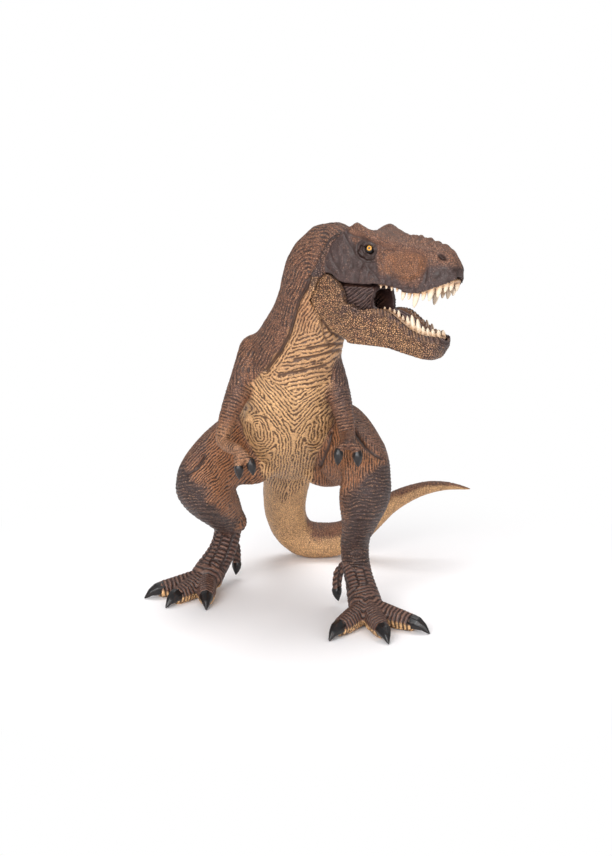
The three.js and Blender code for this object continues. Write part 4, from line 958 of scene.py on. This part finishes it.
def part_hide(whole):
    """Cut the whole hide back into its mouldings along their glue lines."""
    source = whole.data.copy()
    tree = KDTree(len(source.vertices))
    for number, vertex in enumerate(source.vertices):
        tree.insert(vertex.co, number)
    tree.balance()
    made = {}
    for name in GLUED:
        reach = 1.8 if name in ("skull", "tail") else 1.2
        cutter = rebuilt(copied(f"{name}_cutter", (name,), reach), 1.2)
        made[name] = combined(placed(f"{name}_skin", whole.data.copy()), cutter, "INTERSECT")
        combined(whole, cutter, "DIFFERENCE")
        bpy.data.objects.remove(cutter)
    room = jaw_room()
    combined(whole, room, "DIFFERENCE")
    bpy.data.objects.remove(room)
    whole.name = "body_skin"
    made["body"] = whole
    for piece in made.values():
        mend_values(piece.data, source, tree)
    bpy.data.meshes.remove(source)
    return made


def skinned(name, piece, swell, voxel, rounds):
    """The rebuilt skin of one CAD piece."""
    return Skin(rebuilt(copied(name, (piece,), swell), voxel), swell, rounds)


# The rim of the jaw seen from its side, and its half width there: rows of [ahead, up, half width].
JAW_RIM = np.array(
    ((-8, 13.5, 12), (8, 12, 12.4), (14, 2.8, 11.8), (18.5, -0.9, 11.2), (25, 0.3, 10.2), (31, 0.1, 9.5),
     (36, -2.6, 9.1), (42, -6.2, 8.6), (48, -8.1, 8.1), (51, -8.3, 7), (53, -8.5, 5))
)


def build_jaw(settings):
    """The lower jaw: pebbled outside, notched along its rim and dark inside."""
    voxel = fineness(settings.head_voxel)
    skin = skinned("lower_jaw_skin", "lower_jaw", 0.15, voxel, round(6 / voxel))
    ahead, _, up = skin.head.T
    rim, half = (np.interp(ahead, JAW_RIM[:, 0], column) for column in JAW_RIM.T[1:])
    below = rim - up
    inward = smooth(half - 1.3 - skin.side, -0.3, 0.5) * smooth(up - rim + 7, 0, 1) * smooth(51 - ahead, 0, 1)
    outer = 1 - inward

    # Notches along the rim, like short pleats between the teeth's roots.
    notch = np.cos(2 * np.pi * (ahead * 1.06 - 0.35 * below) / 1.6)
    notched = outer * smooth(ahead, 23, 27) * smooth(3.6 - below, 0, 1.5)
    stone = pebbled(skin.points, settings.pebble / MM, 61)
    pebbles = outer * (1 - 0.6 * notched)
    height = settings.pebble_height / MM * 0.8 * pebbles * (stone - 0.8) + 0.3 * notched * (0.5 * notch - 0.5)

    # Dark paint along the rim, on the chin and round the rear plates.
    ragged = cloudy(skin.points, 3, 63)
    speckle = smooth(cloudy(skin.points, 1.2, 65) + 0.5 * ragged, -0.2, 0.4)
    edge = smooth(5.5 - below + 1.5 * ragged, 0, 5) * smooth(ahead, 12, 16)
    chin = smooth(ahead - 50 + 2.5 * ragged, -7, 4) * (0.5 + 0.4 * speckle)
    plate = smooth(14 - ahead, -2, 2) * smooth(up, -6, -2)
    plate_rim = plate * smooth(np.hypot(ahead, up) - 10.5 + 1.5 * ragged, -1.5, 1.5) * (0.4 + 0.5 * speckle)
    return skin.finish_vinyl(
        height,
        tan=0.5 - 0.35 * speckle,
        warm=0.25 * outer,
        dark=outer * np.clip(edge * (0.45 + 0.5 * speckle) + chin + plate_rim, 0, 1),
        east=notch,
        north=np.sin(np.arccos(np.clip(notch, -1, 1))),
        lines=notched,
        pebbles=pebbles,
        crests=0.6 * pebbles,
        grooves=0.7 * notched * (0.5 - 0.5 * notch) ** 2,
        mouth=inward,
    )


def build_cheek(settings):
    """The skin between the jaws: pleated outside, and open in front as the throat."""
    voxel = fineness(settings.head_voxel)
    skin = skinned("cheek_skin", "cheek_lining", 0.15, voxel, round(5 / voxel))
    ahead, side, up = skin.head.T
    outer = smooth(np.abs(skin.head_normals[:, 1]), 0.3, 0.7) * smooth(skin.side, 6.2, 7.4)
    across = 0.77 * up - 0.64 * ahead + 0.6 * cloudy(skin.points, 4, 71)
    turn = 2 * np.pi * across / (settings.pleat_spacing / MM)
    height = settings.pleat_depth / MM * outer * (0.5 * np.cos(turn) - 0.5)
    # The front edge of the figure's right side is hollow and slopes back.
    hollow = 1.5 * hump(up - 1, 4.5) + 0.1 * (9 - up)
    hollow = hollow * smooth(ahead, 17, 25) * smooth(-side, 4.5, 6.5)
    skin.points = skin.points - hollow[:, None] * AHEAD
    return skin.finish_vinyl(
        height,
        dark=outer,
        east=np.cos(turn),
        north=np.sin(turn),
        lines=outer,
        pebbles=0.3 * outer,
        crests=0.25 * outer,
        mouth=1 - outer,
    )


# The middles of the gums in the head's frame, from the mouth's corner to the front: rows of
# [ahead, sideways, up].
UPPER_GUM = ((26.2, 8.6, 10.4), (30, 7.8, 10.8), (36, 7.3, 9.7), (42, 7.1, 8.3), (47, 7, 9.2),
             (50.6, 6.5, 11), (54.3, 4.9, 12.7), (56.4, 3, 13.9))
LOWER_GUM = ((27.3, 6.5, -0.9), (31, 6, -0.95), (36, 5.6, -3.6), (42, 5.1, -7.2), (46.4, 4.75, -8.8),
             (49.9, 3.8, -9.2), (51.9, 2.2, -9.4))
# Teeth of one half jaw: rows of [share of the way to the front, length, width] in millimetres.
UPPER_TEETH = ((0.03, 1.6, 1.6), (0.1, 1.7, 1.7), (0.17, 2, 1.8), (0.24, 1.9, 1.8), (0.33, 4.2, 2.8),
               (0.41, 3.2, 2.4), (0.5, 5.8, 3.6), (0.6, 3.3, 2.8), (0.69, 4.6, 3.4), (0.79, 4.3, 3.1),
               (0.87, 3.2, 2.8), (0.94, 3.2, 2.8))
LOWER_TEETH = ((0.04, 1.4, 1.6), (0.12, 1.6, 1.7), (0.2, 1.9, 1.8), (0.28, 2.7, 2.2), (0.36, 1.9, 2),
               (0.45, 3.3, 2.5), (0.54, 5.2, 3.1), (0.64, 5, 3.1), (0.72, 3.1, 2.5), (0.79, 2.8, 2.8),
               (0.86, 2.8, 2.9), (0.94, 2.8, 2.9))


def arch_of(gum):
    """Places along a whole gum, from one corner of the mouth round to the other."""
    half = np.array(gum, float)
    whole = np.vstack((half * (1, -1, 1), half[::-1]))
    walked = walked_along(whole)
    spots = np.linspace(0, walked[-1], 160)
    path = np.column_stack([np.interp(spots, walked, column) for column in whole.T])
    for _ in range(12):
        path[1:-1] = (path[:-2] + path[2:]) / 2
    return path


def walked_along(path):
    """How far along a path each of its places lies."""
    return np.concatenate(([0], np.cumsum(np.linalg.norm(np.diff(path, axis=0), axis=1))))


def tube(path, widths, heights, sides=12):
    """Points and faces of a closed tube along a path in the head's frame."""
    heading = np.gradient(path, axis=0)
    heading /= np.linalg.norm(heading, axis=1)[:, None]
    across = np.cross(heading, UP)
    across /= np.linalg.norm(across, axis=1)[:, None]
    over = np.cross(across, heading)
    turns = np.linspace(0, 2 * np.pi, sides, endpoint=False)
    rings = (
        path[:, None]
        + across[:, None] * np.cos(turns)[None, :, None] * np.reshape(widths, (-1, 1, 1))
        + over[:, None] * np.sin(turns)[None, :, None] * np.reshape(heights, (-1, 1, 1))
    )
    count = len(path)
    faces = [
        (r * sides + i, r * sides + (i + 1) % sides, (r + 1) * sides + (i + 1) % sides, (r + 1) * sides + i)
        for r in range(count - 1)
        for i in range(sides)
    ]
    faces += [tuple(range(sides))[::-1], tuple((count - 1) * sides + i for i in range(sides))]
    return rings.reshape(-1, 3), faces


def tooth(root, along, way, size, width):
    """A stout blunt cone that leans out a little and curves back. way is -1 for hanging teeth."""
    share = np.linspace(0, 1, 9)
    outward = np.cross(along, UP)
    outward /= np.linalg.norm(outward)
    if outward[1] * root[1] < 0:
        outward = -outward
    rise = np.array((0, 0, way))
    sunk = 1.0  # how deep the root sits in the gum
    path = (
        root
        - rise * sunk
        + rise * share[:, None] * (size + sunk)
        + outward * (0.06 * size * share[:, None])
        - np.array((1, 0, 0)) * (0.14 * size * share[:, None] ** 2)
    )
    radius = width / 2 * np.sqrt(np.maximum(1 - share**2.6, 0.04)) * (1 - 0.25 * share)
    return tube(path, radius, radius * 0.85, 14)


def gum_and_teeth(path, rows, way, left):
    """Points and faces of a gum and of each tooth. left is how long the left side's teeth are beside
    the right's."""
    steps = walked_along(path)
    parts = [tube(path, 1.3, 1.0)]
    lift = (0, 0, 0.7 * way)
    for share, size, width in rows:
        for spot, beside in ((share / 2, 1), (1 - share / 2, left)):
            root, near = (
                np.array([np.interp(where, steps, column) for column in path.T])
                for where in (spot * steps[-1], spot * steps[-1] + 0.5)
            )
            root = root + lift
            # The front teeth of both sides are alike.
            taller = 1 + (beside - 1) * min(1, 4 - 4 * share)
            parts.append(tooth(root, near - root + lift, way, size * taller, width * taller**0.5))
    return parts


def joined(name, parts):
    """One object from parts in the head's frame, each its points and faces."""
    form = bmesh.new()
    for places, faces in parts:
        corners = [form.verts.new(spot) for spot in ((places @ HEAD_AXES + HINGE) * MM).tolist()]
        for face in faces:
            form.faces.new([corners[i] for i in face])
    bmesh.ops.recalc_face_normals(form, faces=form.faces)
    return made_from(name, form)


def build_teeth(name, gum, rows, settings, way, left, brown):
    """A gum with its teeth. brown is how much of the gum's brown runs up the teeth's insides."""
    path = arch_of(gum)
    made = joined(name, gum_and_teeth(path, rows, way, left))
    skin = Skin(rebuilt(made, fineness(settings.small_voxel)), 0, 2)
    ahead, side, up = skin.head.T
    middle = np.array(gum, float)
    reach = (up - np.interp(ahead, middle[:, 0], middle[:, 2])) * way
    # Only the outsides are painted ivory: the insides keep the gum's brown.
    outward = np.column_stack((np.maximum(ahead - middle[-1, 0] + 6, 0), side))
    outward /= np.linalg.norm(outward, axis=1)[:, None]
    inside = smooth(-(skin.head_normals[:, :2] * outward).sum(axis=1), 0, 0.5)
    gap, _ = away_from(skin.head, path[::4])
    bar = smooth(1.25 - gap, -0.15, 0.2) * smooth(1.3 - reach, -0.2, 0.2)
    paint = {"root": smooth(2.8 - reach, 0, 2), "gum": np.maximum(0.8 * bar, brown * inside)}
    return skin.finish(np.zeros(skin.size), paint)


def box_of(name):
    """The low and high corners of a CAD piece."""
    return (np.array(corner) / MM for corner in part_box(name))


# A claw longer than this is a toe's.
TOE_CLAW = 6


def build_claw(name, settings):
    """A claw, shaped along its own length from socket to tip."""
    skin = skinned(f"{name}_skin", name, 0.05, fineness(settings.small_voxel), 10)
    middle = skin.points.mean(axis=0)
    lengthwise = np.linalg.eigh(np.cov((skin.points - middle).T))[1][:, 2]
    spot = (skin.points - middle) @ lengthwise
    radial = skin.points - middle - spot[:, None] * lengthwise
    radius = np.linalg.norm(radial, axis=1)
    tip = -spot if radius[spot > 0].mean() > radius[spot < 0].mean() else spot
    tip = (tip - tip.min()) / np.ptp(tip)
    dent = 0.06 * cloudy(skin.points, 1.2, 81) * (1 - tip)
    low, high = box_of(name)
    # A toe's claw is stoutest a third of the way along; a finger's is slimmer than its socket.
    if (high - low).max() > TOE_CLAW:
        return skin.finish(0.75 * np.sin(np.pi * tip**0.8) ** 0.8 + dent, {"tip": tip})
    skin.points = skin.points - 0.3 * radial
    return skin.finish(0.5 * dent, {"tip": tip})


def build_tongue(settings):
    """The tongue: soft, filling the floor of the mouth and rising almost to the teeth."""
    skin = skinned("tongue_skin", "tongue", 0.05, settings.head_voxel / MM, 16)
    top = smooth(skin.head_normals[:, 2], -0.2, 0.6)
    skin.points = skin.points + (skin.head[:, 1] * 0.3)[:, None] * LEFT + (2.6 * top)[:, None] * CROWN
    groove = hump(skin.side, 0.6) * top
    return skin.finish(-0.45 * groove, {"groove": groove})


def build_eye(name, side):
    """A glossy ball with its iris painted about the way it looks."""
    low, high = box_of(name)
    radius = (high - low).max() / 2
    form = bmesh.new()
    bmesh.ops.create_uvsphere(form, u_segments=48, v_segments=32, radius=radius * MM)
    ball = made_from(f"{name}_ball", form)
    points = points_of(ball.data)
    look = np.array((0.35, side * 0.9, 0.12)) @ HEAD_AXES
    look /= np.linalg.norm(look)
    off = np.arccos(np.clip(points @ look / radius, -1, 1)) * radius
    place(ball.data, points + (low + high) / 2)
    keep_values(ball.data, {"off_pupil": off})
    return ball


# Materials. Each is named for the real finish.


def node(tree, kind, inputs=None, **settings):
    """Add a shader node, with its settings, and link or fill its inputs."""
    made = tree.nodes.new(kind)
    for name, value in settings.items():
        setattr(made, name, value)
    for name, value in (inputs or {}).items():
        if isinstance(value, bpy.types.NodeSocket):
            tree.links.new(value, made.inputs[name])
        else:
            made.inputs[name].default_value = value
    return made


def per_metre(millimetres):
    """A texture's scale for features of this size."""
    return 1 / (millimetres * MM)


class Recipe:
    """Short names for the few nodes that the finishes are mixed from."""

    def __init__(self, name):
        self.material = bpy.data.materials.new(name)
        self.material.use_nodes = True
        self.tree = self.material.node_tree
        self.tree.nodes.clear()
        self.place = node(self.tree, "ShaderNodeTexCoord").outputs["Object"]

    def noise(self, size, detail=2.0):
        inputs = {"Vector": self.place, "Scale": per_metre(size), "Detail": detail}
        return node(self.tree, "ShaderNodeTexNoise", inputs).outputs["Fac"]

    def kept(self, name):
        return node(self.tree, "ShaderNodeAttribute", attribute_name=name).outputs["Fac"]

    def maths(self, operation, *values, clamp=False):
        inputs = dict(enumerate(values))
        return node(self.tree, "ShaderNodeMath", inputs, operation=operation, use_clamp=clamp).outputs[0]

    def mix(self, share, *colours, blend="MIX"):
        """Mix two colours, each a socket or a paint."""
        first, second = (c if isinstance(c, bpy.types.NodeSocket) else (*c, 1) for c in colours)
        inputs = {0: share, 6: first, 7: second}
        return node(self.tree, "ShaderNodeMix", inputs, data_type="RGBA", blend_type=blend).outputs[2]

    def between(self, value, low, high, start=0.0, end=1.0):
        inputs = {0: value, 1: low, 2: high, 3: start, 4: end}
        return node(self.tree, "ShaderNodeMapRange", inputs, interpolation_type="SMOOTHSTEP").outputs[0]

    def bumped(self, height, strength, distance):
        inputs = {"Height": height, "Strength": strength, "Distance": distance * MM}
        return node(self.tree, "ShaderNodeBump", inputs).outputs["Normal"]

    def shaded(self, **inputs):
        inputs = {name.replace("_", " "): value for name, value in inputs.items()}
        shader = node(self.tree, "ShaderNodeBsdfPrincipled", inputs)
        node(self.tree, "ShaderNodeOutputMaterial", {"Surface": shader.outputs[0]})
        return self.material


def vinyl_grooves(recipe, wander):
    """How deep in a groove each spot is: between ridges, between scales or in a fold, where the wash also
    paints the crease's shade.
    """
    kept, maths = recipe.kept, recipe.maths
    # Ridges follow the counted wave, with a slight wander.
    turn = maths("ARCTAN2", kept("north"), kept("east"))
    wave = maths("COSINE", maths("ADD", turn, recipe.between(wander, 0.25, 0.75, -0.9, 0.9)))
    valley = maths("POWER", maths("MULTIPLY_ADD", wave, -0.5, 0.5), 1.25)
    # The wash gathers unevenly, so each groove is a row of short dark strokes.
    stroke = recipe.between(recipe.noise(1.1), 0.33, 0.6, 0.3, 1)
    valley = maths("MULTIPLY", maths("MULTIPLY", valley, stroke), kept("lines"))
    inputs = {"Vector": recipe.place, "Scale": per_metre(0.85)}
    scale = node(recipe.tree, "ShaderNodeTexVoronoi", inputs, feature="DISTANCE_TO_EDGE").outputs["Distance"]
    seam = maths("MULTIPLY", recipe.between(scale, 0.0, 0.22, 1, 0), kept("pebbles"))
    return maths("MAXIMUM", maths("MAXIMUM", valley, seam), kept("grooves"))


def painted_vinyl():
    """Soft vinyl, moulded with ridges and scales, sprayed in brown and tan and washed dark: a satin skin
    whose grooves stay dark and whose crests catch the light. The same wash darkens the creases of folds and
    the nostril as painted shade."""
    paint = bpy.context.scene.dinosaur_paint
    recipe = Recipe("painted_vinyl")
    kept, maths, mix = recipe.kept, recipe.maths, recipe.mix
    fine, middle, broad = recipe.noise(0.45), recipe.noise(1.6), recipe.noise(9)
    groove = vinyl_grooves(recipe, middle)
    depth = recipe.between(groove, 0.03, 0.62)

    base = mix(kept("tan"), paint.back, paint.belly)
    for name, sprayed in (("warm", paint.warm), ("dark", paint.dark), ("sole", paint.belly)):
        base = mix(kept(name), base, sprayed)
    tone = maths("MULTIPLY_ADD", fine, 0.9, maths("MULTIPLY_ADD", middle, 0.8, -0.15))
    tone = maths("MULTIPLY_ADD", broad, 0.6, tone)
    tones = node(recipe.tree, "ShaderNodeCombineColor", {0: tone, 1: tone, 2: tone}).outputs[0]
    base = mix(1, base, tones, blend="MULTIPLY")
    # A dry brush lightens the crests, and the wash fills the grooves and paints the shade in folds and the
    # nostril.
    crest = maths("MULTIPLY", kept("crests"), recipe.between(depth, 0, 0.35, 1, 0))
    brushed = maths("MULTIPLY", crest, recipe.between(recipe.noise(1.3), 0.36, 0.64, 0, 0.55))
    base = mix(brushed, base, paint.brushed)
    wash = mix(kept("tan"), paint.groove, paint.stain)
    base = mix(maths("MULTIPLY", depth, 0.94), base, wash)
    base = mix(kept("mouth"), base, paint.mouth)

    bumped = recipe.bumped(maths("MULTIPLY_ADD", fine, 0.3, maths("MULTIPLY", groove, -1)), 1.0, 0.32)
    rough = maths("MULTIPLY_ADD", middle, 0.25, 0.38)
    return recipe.shaded(Base_Color=base, Roughness=rough, Normal=bumped, IOR=1.53)


def ivory_paint():
    """Teeth dipped in satin ivory and washed tan at the gum."""
    paint = bpy.context.scene.dinosaur_paint
    recipe = Recipe("ivory_paint")
    stain = recipe.maths("MULTIPLY", recipe.kept("root"), recipe.between(recipe.noise(0.6), 0.2, 0.7, 0.4, 1))
    base = recipe.mix(stain, paint.tooth, paint.root)
    base = recipe.mix(recipe.kept("gum"), base, paint.gum)
    bumped = recipe.bumped(recipe.noise(0.5), 0.3, 0.1)
    rough = recipe.between(recipe.noise(0.8), 0.3, 0.7, 0.3, 0.42)
    return recipe.shaded(Base_Color=base, Roughness=rough, Normal=bumped, IOR=1.5)


def gloss_black():
    """Claws brushed with gloss black, thin enough at the edges to show brown."""
    paint = bpy.context.scene.dinosaur_paint
    recipe = Recipe("gloss_black")
    base = recipe.mix(recipe.between(recipe.noise(1.1), 0.45, 0.8), paint.claw, paint.groove)
    bumped = recipe.bumped(recipe.noise(0.9), 0.2, 0.1)
    rough = recipe.between(recipe.noise(0.9), 0.3, 0.7, 0.28, 0.42)
    return recipe.shaded(Base_Color=base, Roughness=rough, Normal=bumped, IOR=1.5)


def wet_tongue():
    """A mauve brown tongue under clear gloss."""
    paint = bpy.context.scene.dinosaur_paint
    recipe = Recipe("wet_tongue")
    base = recipe.mix(recipe.between(recipe.noise(1.2), 0.3, 0.75), paint.tongue, paint.mouth)
    base = recipe.mix(recipe.kept("groove"), base, paint.mouth)
    rough = recipe.between(recipe.noise(0.9), 0.3, 0.7, 0.2, 0.34)
    return recipe.shaded(Base_Color=base, Roughness=rough, IOR=1.5)


def amber_eye():
    """A hand-painted eye under clear gloss: dark pupil, amber ring and near-black rim."""
    paint = bpy.context.scene.dinosaur_paint
    recipe = Recipe("amber_eye")
    off = recipe.maths("MULTIPLY_ADD", recipe.noise(0.3), 0.12, recipe.kept("off_pupil"))
    base = recipe.mix(recipe.between(off, 0.5, 0.6), paint.claw, paint.iris)
    base = recipe.mix(recipe.between(off, 1.0, 1.15), base, paint.claw)
    return recipe.shaded(Base_Color=base, Roughness=0.3, IOR=1.5)


def drawn_steel():
    """A plain drawn wire: bright, with a faint cloudiness left by the die."""
    paint = bpy.context.scene.dinosaur_paint
    recipe = Recipe("drawn_steel")
    tone = recipe.mix(recipe.noise(0.5), paint.steel, [0.8 * c for c in paint.steel])
    return recipe.shaded(Base_Color=tone, Roughness=0.3, Metallic=1.0)


def dressed(piece, material, *nodes, body="figure", slot="hide"):
    """Give a piece its material, shade it smooth, hang it under its body's empty and hide the CAD nodes that
    it stands for.
    """
    if not piece.data.polygons:
        raise RuntimeError(f"{piece.name} came out empty")
    piece.data.materials.clear()
    piece.data.materials.append(material)
    piece.data.shade_smooth()
    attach(piece, body)
    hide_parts(*nodes)


def shared(name, recipe):
    """A finish that several operators use, made once."""
    return bpy.data.materials.get(name) or recipe()


class BuildHide(Operator):
    """Build the hide of the fixed mouldings"""

    bl_idname = "dinosaur.hide"
    bl_label = "Hide"

    def execute(self, context):
        vinyl = shared("painted_vinyl", painted_vinyl)
        for name, piece in part_hide(build_hide(context.scene.dinosaur_skin)).items():
            dressed(piece, vinyl, name, slot="mask" if name == "skull" else "hide")
        return {"FINISHED"}


class BuildJaw(Operator):
    """Build the lower jaw"""

    bl_idname = "dinosaur.jaw"
    bl_label = "Lower jaw"

    def execute(self, context):
        vinyl = shared("painted_vinyl", painted_vinyl)
        dressed(build_jaw(context.scene.dinosaur_skin), vinyl, "lower_jaw", body="jaw", slot="belly")
        return {"FINISHED"}


class BuildCheek(Operator):
    """Build the pleated skin between the jaws"""

    bl_idname = "dinosaur.cheek"
    bl_label = "Cheek"

    def execute(self, context):
        vinyl = shared("painted_vinyl", painted_vinyl)
        dressed(build_cheek(context.scene.dinosaur_skin), vinyl, "cheek_lining", slot="mouth")
        return {"FINISHED"}


class BuildTeeth(Operator):
    """Build the teeth on their gums"""

    bl_idname = "dinosaur.teeth"
    bl_label = "Teeth"

    def execute(self, context):
        settings = context.scene.dinosaur_skin
        ivory = ivory_paint()
        shape = {"way": -1, "left": 0.9, "brown": 0.45}
        upper = build_teeth("upper_teeth_skin", UPPER_GUM, UPPER_TEETH, settings, **shape)
        dressed(upper, ivory, "upper_teeth", slot="tooth")
        shape = {"way": 1, "left": 0.55, "brown": 0.9}
        lower = build_teeth("lower_teeth_skin", LOWER_GUM, LOWER_TEETH, settings, **shape)
        dressed(lower, ivory, "lower_teeth", body="jaw", slot="tooth")
        return {"FINISHED"}


class BuildTongue(Operator):
    """Build the tongue"""

    bl_idname = "dinosaur.tongue"
    bl_label = "Tongue"

    def execute(self, context):
        dressed(build_tongue(context.scene.dinosaur_skin), wet_tongue(), "tongue", body="jaw", slot="tongue")
        return {"FINISHED"}


class BuildClaws(Operator):
    """Build the claws of toes and fingers"""

    bl_idname = "dinosaur.claws"
    bl_label = "Claws"

    def execute(self, context):
        black = gloss_black()
        for name in sorted(frame["nodes"]):
            if name.endswith("_claw"):
                dressed(build_claw(name, context.scene.dinosaur_skin), black, name, slot="claw")
        return {"FINISHED"}


class BuildEyes(Operator):
    """Build the eyes"""

    bl_idname = "dinosaur.eyes"
    bl_label = "Eyes"

    def execute(self, context):
        amber = amber_eye()
        for name, side in (("right_eye", -1), ("left_eye", 1)):
            dressed(build_eye(name, side), amber, name, slot="eye")
        return {"FINISHED"}


class BuildPin(Operator):
    """Give the jaw pin its steel"""

    bl_idname = "dinosaur.pin"
    bl_label = "Jaw pin"

    def execute(self, context):
        mesh = frame["nodes"]["jaw_pin"].data
        mesh.materials.clear()
        mesh.materials.append(drawn_steel())
        return {"FINISHED"}


class BuildStage(Operator):
    """Set the floor, the lights and the camera"""

    bl_idname = "dinosaur.stage"
    bl_label = "Stage"

    def execute(self, context):
        stage = context.scene.dinosaur_stage
        build_floor(stage)
        build_lights()
        build_camera(context, stage)
        context.scene.view_settings.view_transform = "Standard"
        return {"FINISHED"}


def build_floor(stage):
    """White paper that takes the figure's shadow, and is plain white further away."""
    half = stage.floor_size / 2
    mesh = bpy.data.meshes.new("floor")
    corners = [(-half, -half, 0), (half, -half, 0), (half, half, 0), (-half, half, 0)]
    mesh.from_pydata(corners, [], [(0, 1, 2, 3)])
    floor = placed("floor", mesh)
    recipe = Recipe("white_paper")
    lit = node(recipe.tree, "ShaderNodeBsdfDiffuse", {"Color": (*stage.floor, 1)})
    white = node(recipe.tree, "ShaderNodeEmission", {"Color": (1, 1, 1, 1), "Strength": 1.0})
    away = node(recipe.tree, "ShaderNodeVectorMath", {0: recipe.place}, operation="LENGTH").outputs["Value"]
    fade = recipe.between(away, 0.07, 0.2)
    seen = recipe.maths("MULTIPLY", fade, node(recipe.tree, "ShaderNodeLightPath").outputs["Is Camera Ray"])
    shader = node(recipe.tree, "ShaderNodeMixShader", {0: seen, 1: lit.outputs[0], 2: white.outputs[0]})
    node(recipe.tree, "ShaderNodeOutputMaterial", {"Surface": shader.outputs[0]})
    mesh.materials.append(recipe.material)


# Soft lamps: place and width in metres, and power in watts.
LAMPS = {
    "key": ((-0.45, -1.1, 0.62), 0.7, 13.0),
    "fill": ((0.4, -1.1, 0.15), 0.9, 8.0),
    "rim": ((0.1, 0.3, 1.3), 0.8, 8.0),
}


def build_lights():
    """Soft lamps, in a room that lights the figure evenly and is seen as plain white."""
    for name, (spot, width, power) in LAMPS.items():
        lamp = bpy.data.lights.new(name, "AREA")
        lamp.size = width
        lamp.energy = power
        made = placed(name, lamp)
        made.location = spot
        made.rotation_euler = (Vector((0, 0, 0.08)) - Vector(spot)).to_track_quat("-Z", "Y").to_euler()
    world = bpy.data.worlds.new("studio")
    bpy.context.scene.world = world
    world.use_nodes = True
    tree = world.node_tree
    tree.nodes.clear()
    soft = node(tree, "ShaderNodeBackground", {"Color": (1, 1, 1, 1), "Strength": 0.45})
    white = node(tree, "ShaderNodeBackground", {"Color": (1, 1, 1, 1), "Strength": 1.0})
    ray = node(tree, "ShaderNodeLightPath")
    inputs = {0: ray.outputs["Is Camera Ray"], 1: soft.outputs[0], 2: white.outputs[0]}
    seen = node(tree, "ShaderNodeMixShader", inputs)
    node(tree, "ShaderNodeOutputWorld", {"Surface": seen.outputs[0]})


# Where the camera stands and what it looks at, in millimetres.
CAMERA_PLACE = (-2.8, -942, 296)
CAMERA_TARGET = (-2.8, -42, 88)


def build_camera(context, stage):
    """The photograph's view."""
    lens = bpy.data.cameras.new("camera")
    lens.lens = stage.lens
    made = placed("camera", lens)
    spot, target = Vector(CAMERA_PLACE) * MM, Vector(CAMERA_TARGET) * MM
    made.location = spot
    made.rotation_euler = (target - spot).to_track_quat("-Z", "Y").to_euler()
    context.scene.camera = made


class DinosaurPanel(Panel):
    """Lists what the figure is built from"""

    bl_idname = "VIEW3D_PT_dinosaur"
    bl_label = "Dinosaur"
    bl_space_type = "VIEW_3D"
    bl_region_type = "UI"
    bl_category = "Dinosaur"

    def draw(self, context):
        scene = context.scene
        for settings in (scene.dinosaur_skin, scene.dinosaur_paint, scene.dinosaur_stage):
            for name in settings.__annotations__:
                self.layout.prop(settings, name)
        for operator in OPERATORS:
            self.layout.operator(operator.bl_idname)


OPERATORS = (
    BuildHide, BuildJaw, BuildCheek, BuildTeeth, BuildTongue, BuildClaws, BuildEyes, BuildPin, BuildStage
)
CLASSES = (DinosaurSkin, DinosaurPaint, DinosaurStage, *OPERATORS, DinosaurPanel)


def register():
    for made in CLASSES:
        bpy.utils.register_class(made)
    bpy.types.Scene.dinosaur_skin = PointerProperty(type=DinosaurSkin)
    bpy.types.Scene.dinosaur_paint = PointerProperty(type=DinosaurPaint)
    bpy.types.Scene.dinosaur_stage = PointerProperty(type=DinosaurStage)


def unregister():
    del bpy.types.Scene.dinosaur_skin
    del bpy.types.Scene.dinosaur_paint
    del bpy.types.Scene.dinosaur_stage
    for made in reversed(CLASSES):
        bpy.utils.unregister_class(made)


def main():
    register()
    bpy.ops.dinosaur.hide()
    bpy.ops.dinosaur.jaw()
    bpy.ops.dinosaur.cheek()
    bpy.ops.dinosaur.teeth()
    bpy.ops.dinosaur.tongue()
    bpy.ops.dinosaur.claws()
    bpy.ops.dinosaur.eyes()
    bpy.ops.dinosaur.pin()
    bpy.ops.dinosaur.stage()


if __name__ == "__main__":
    main()
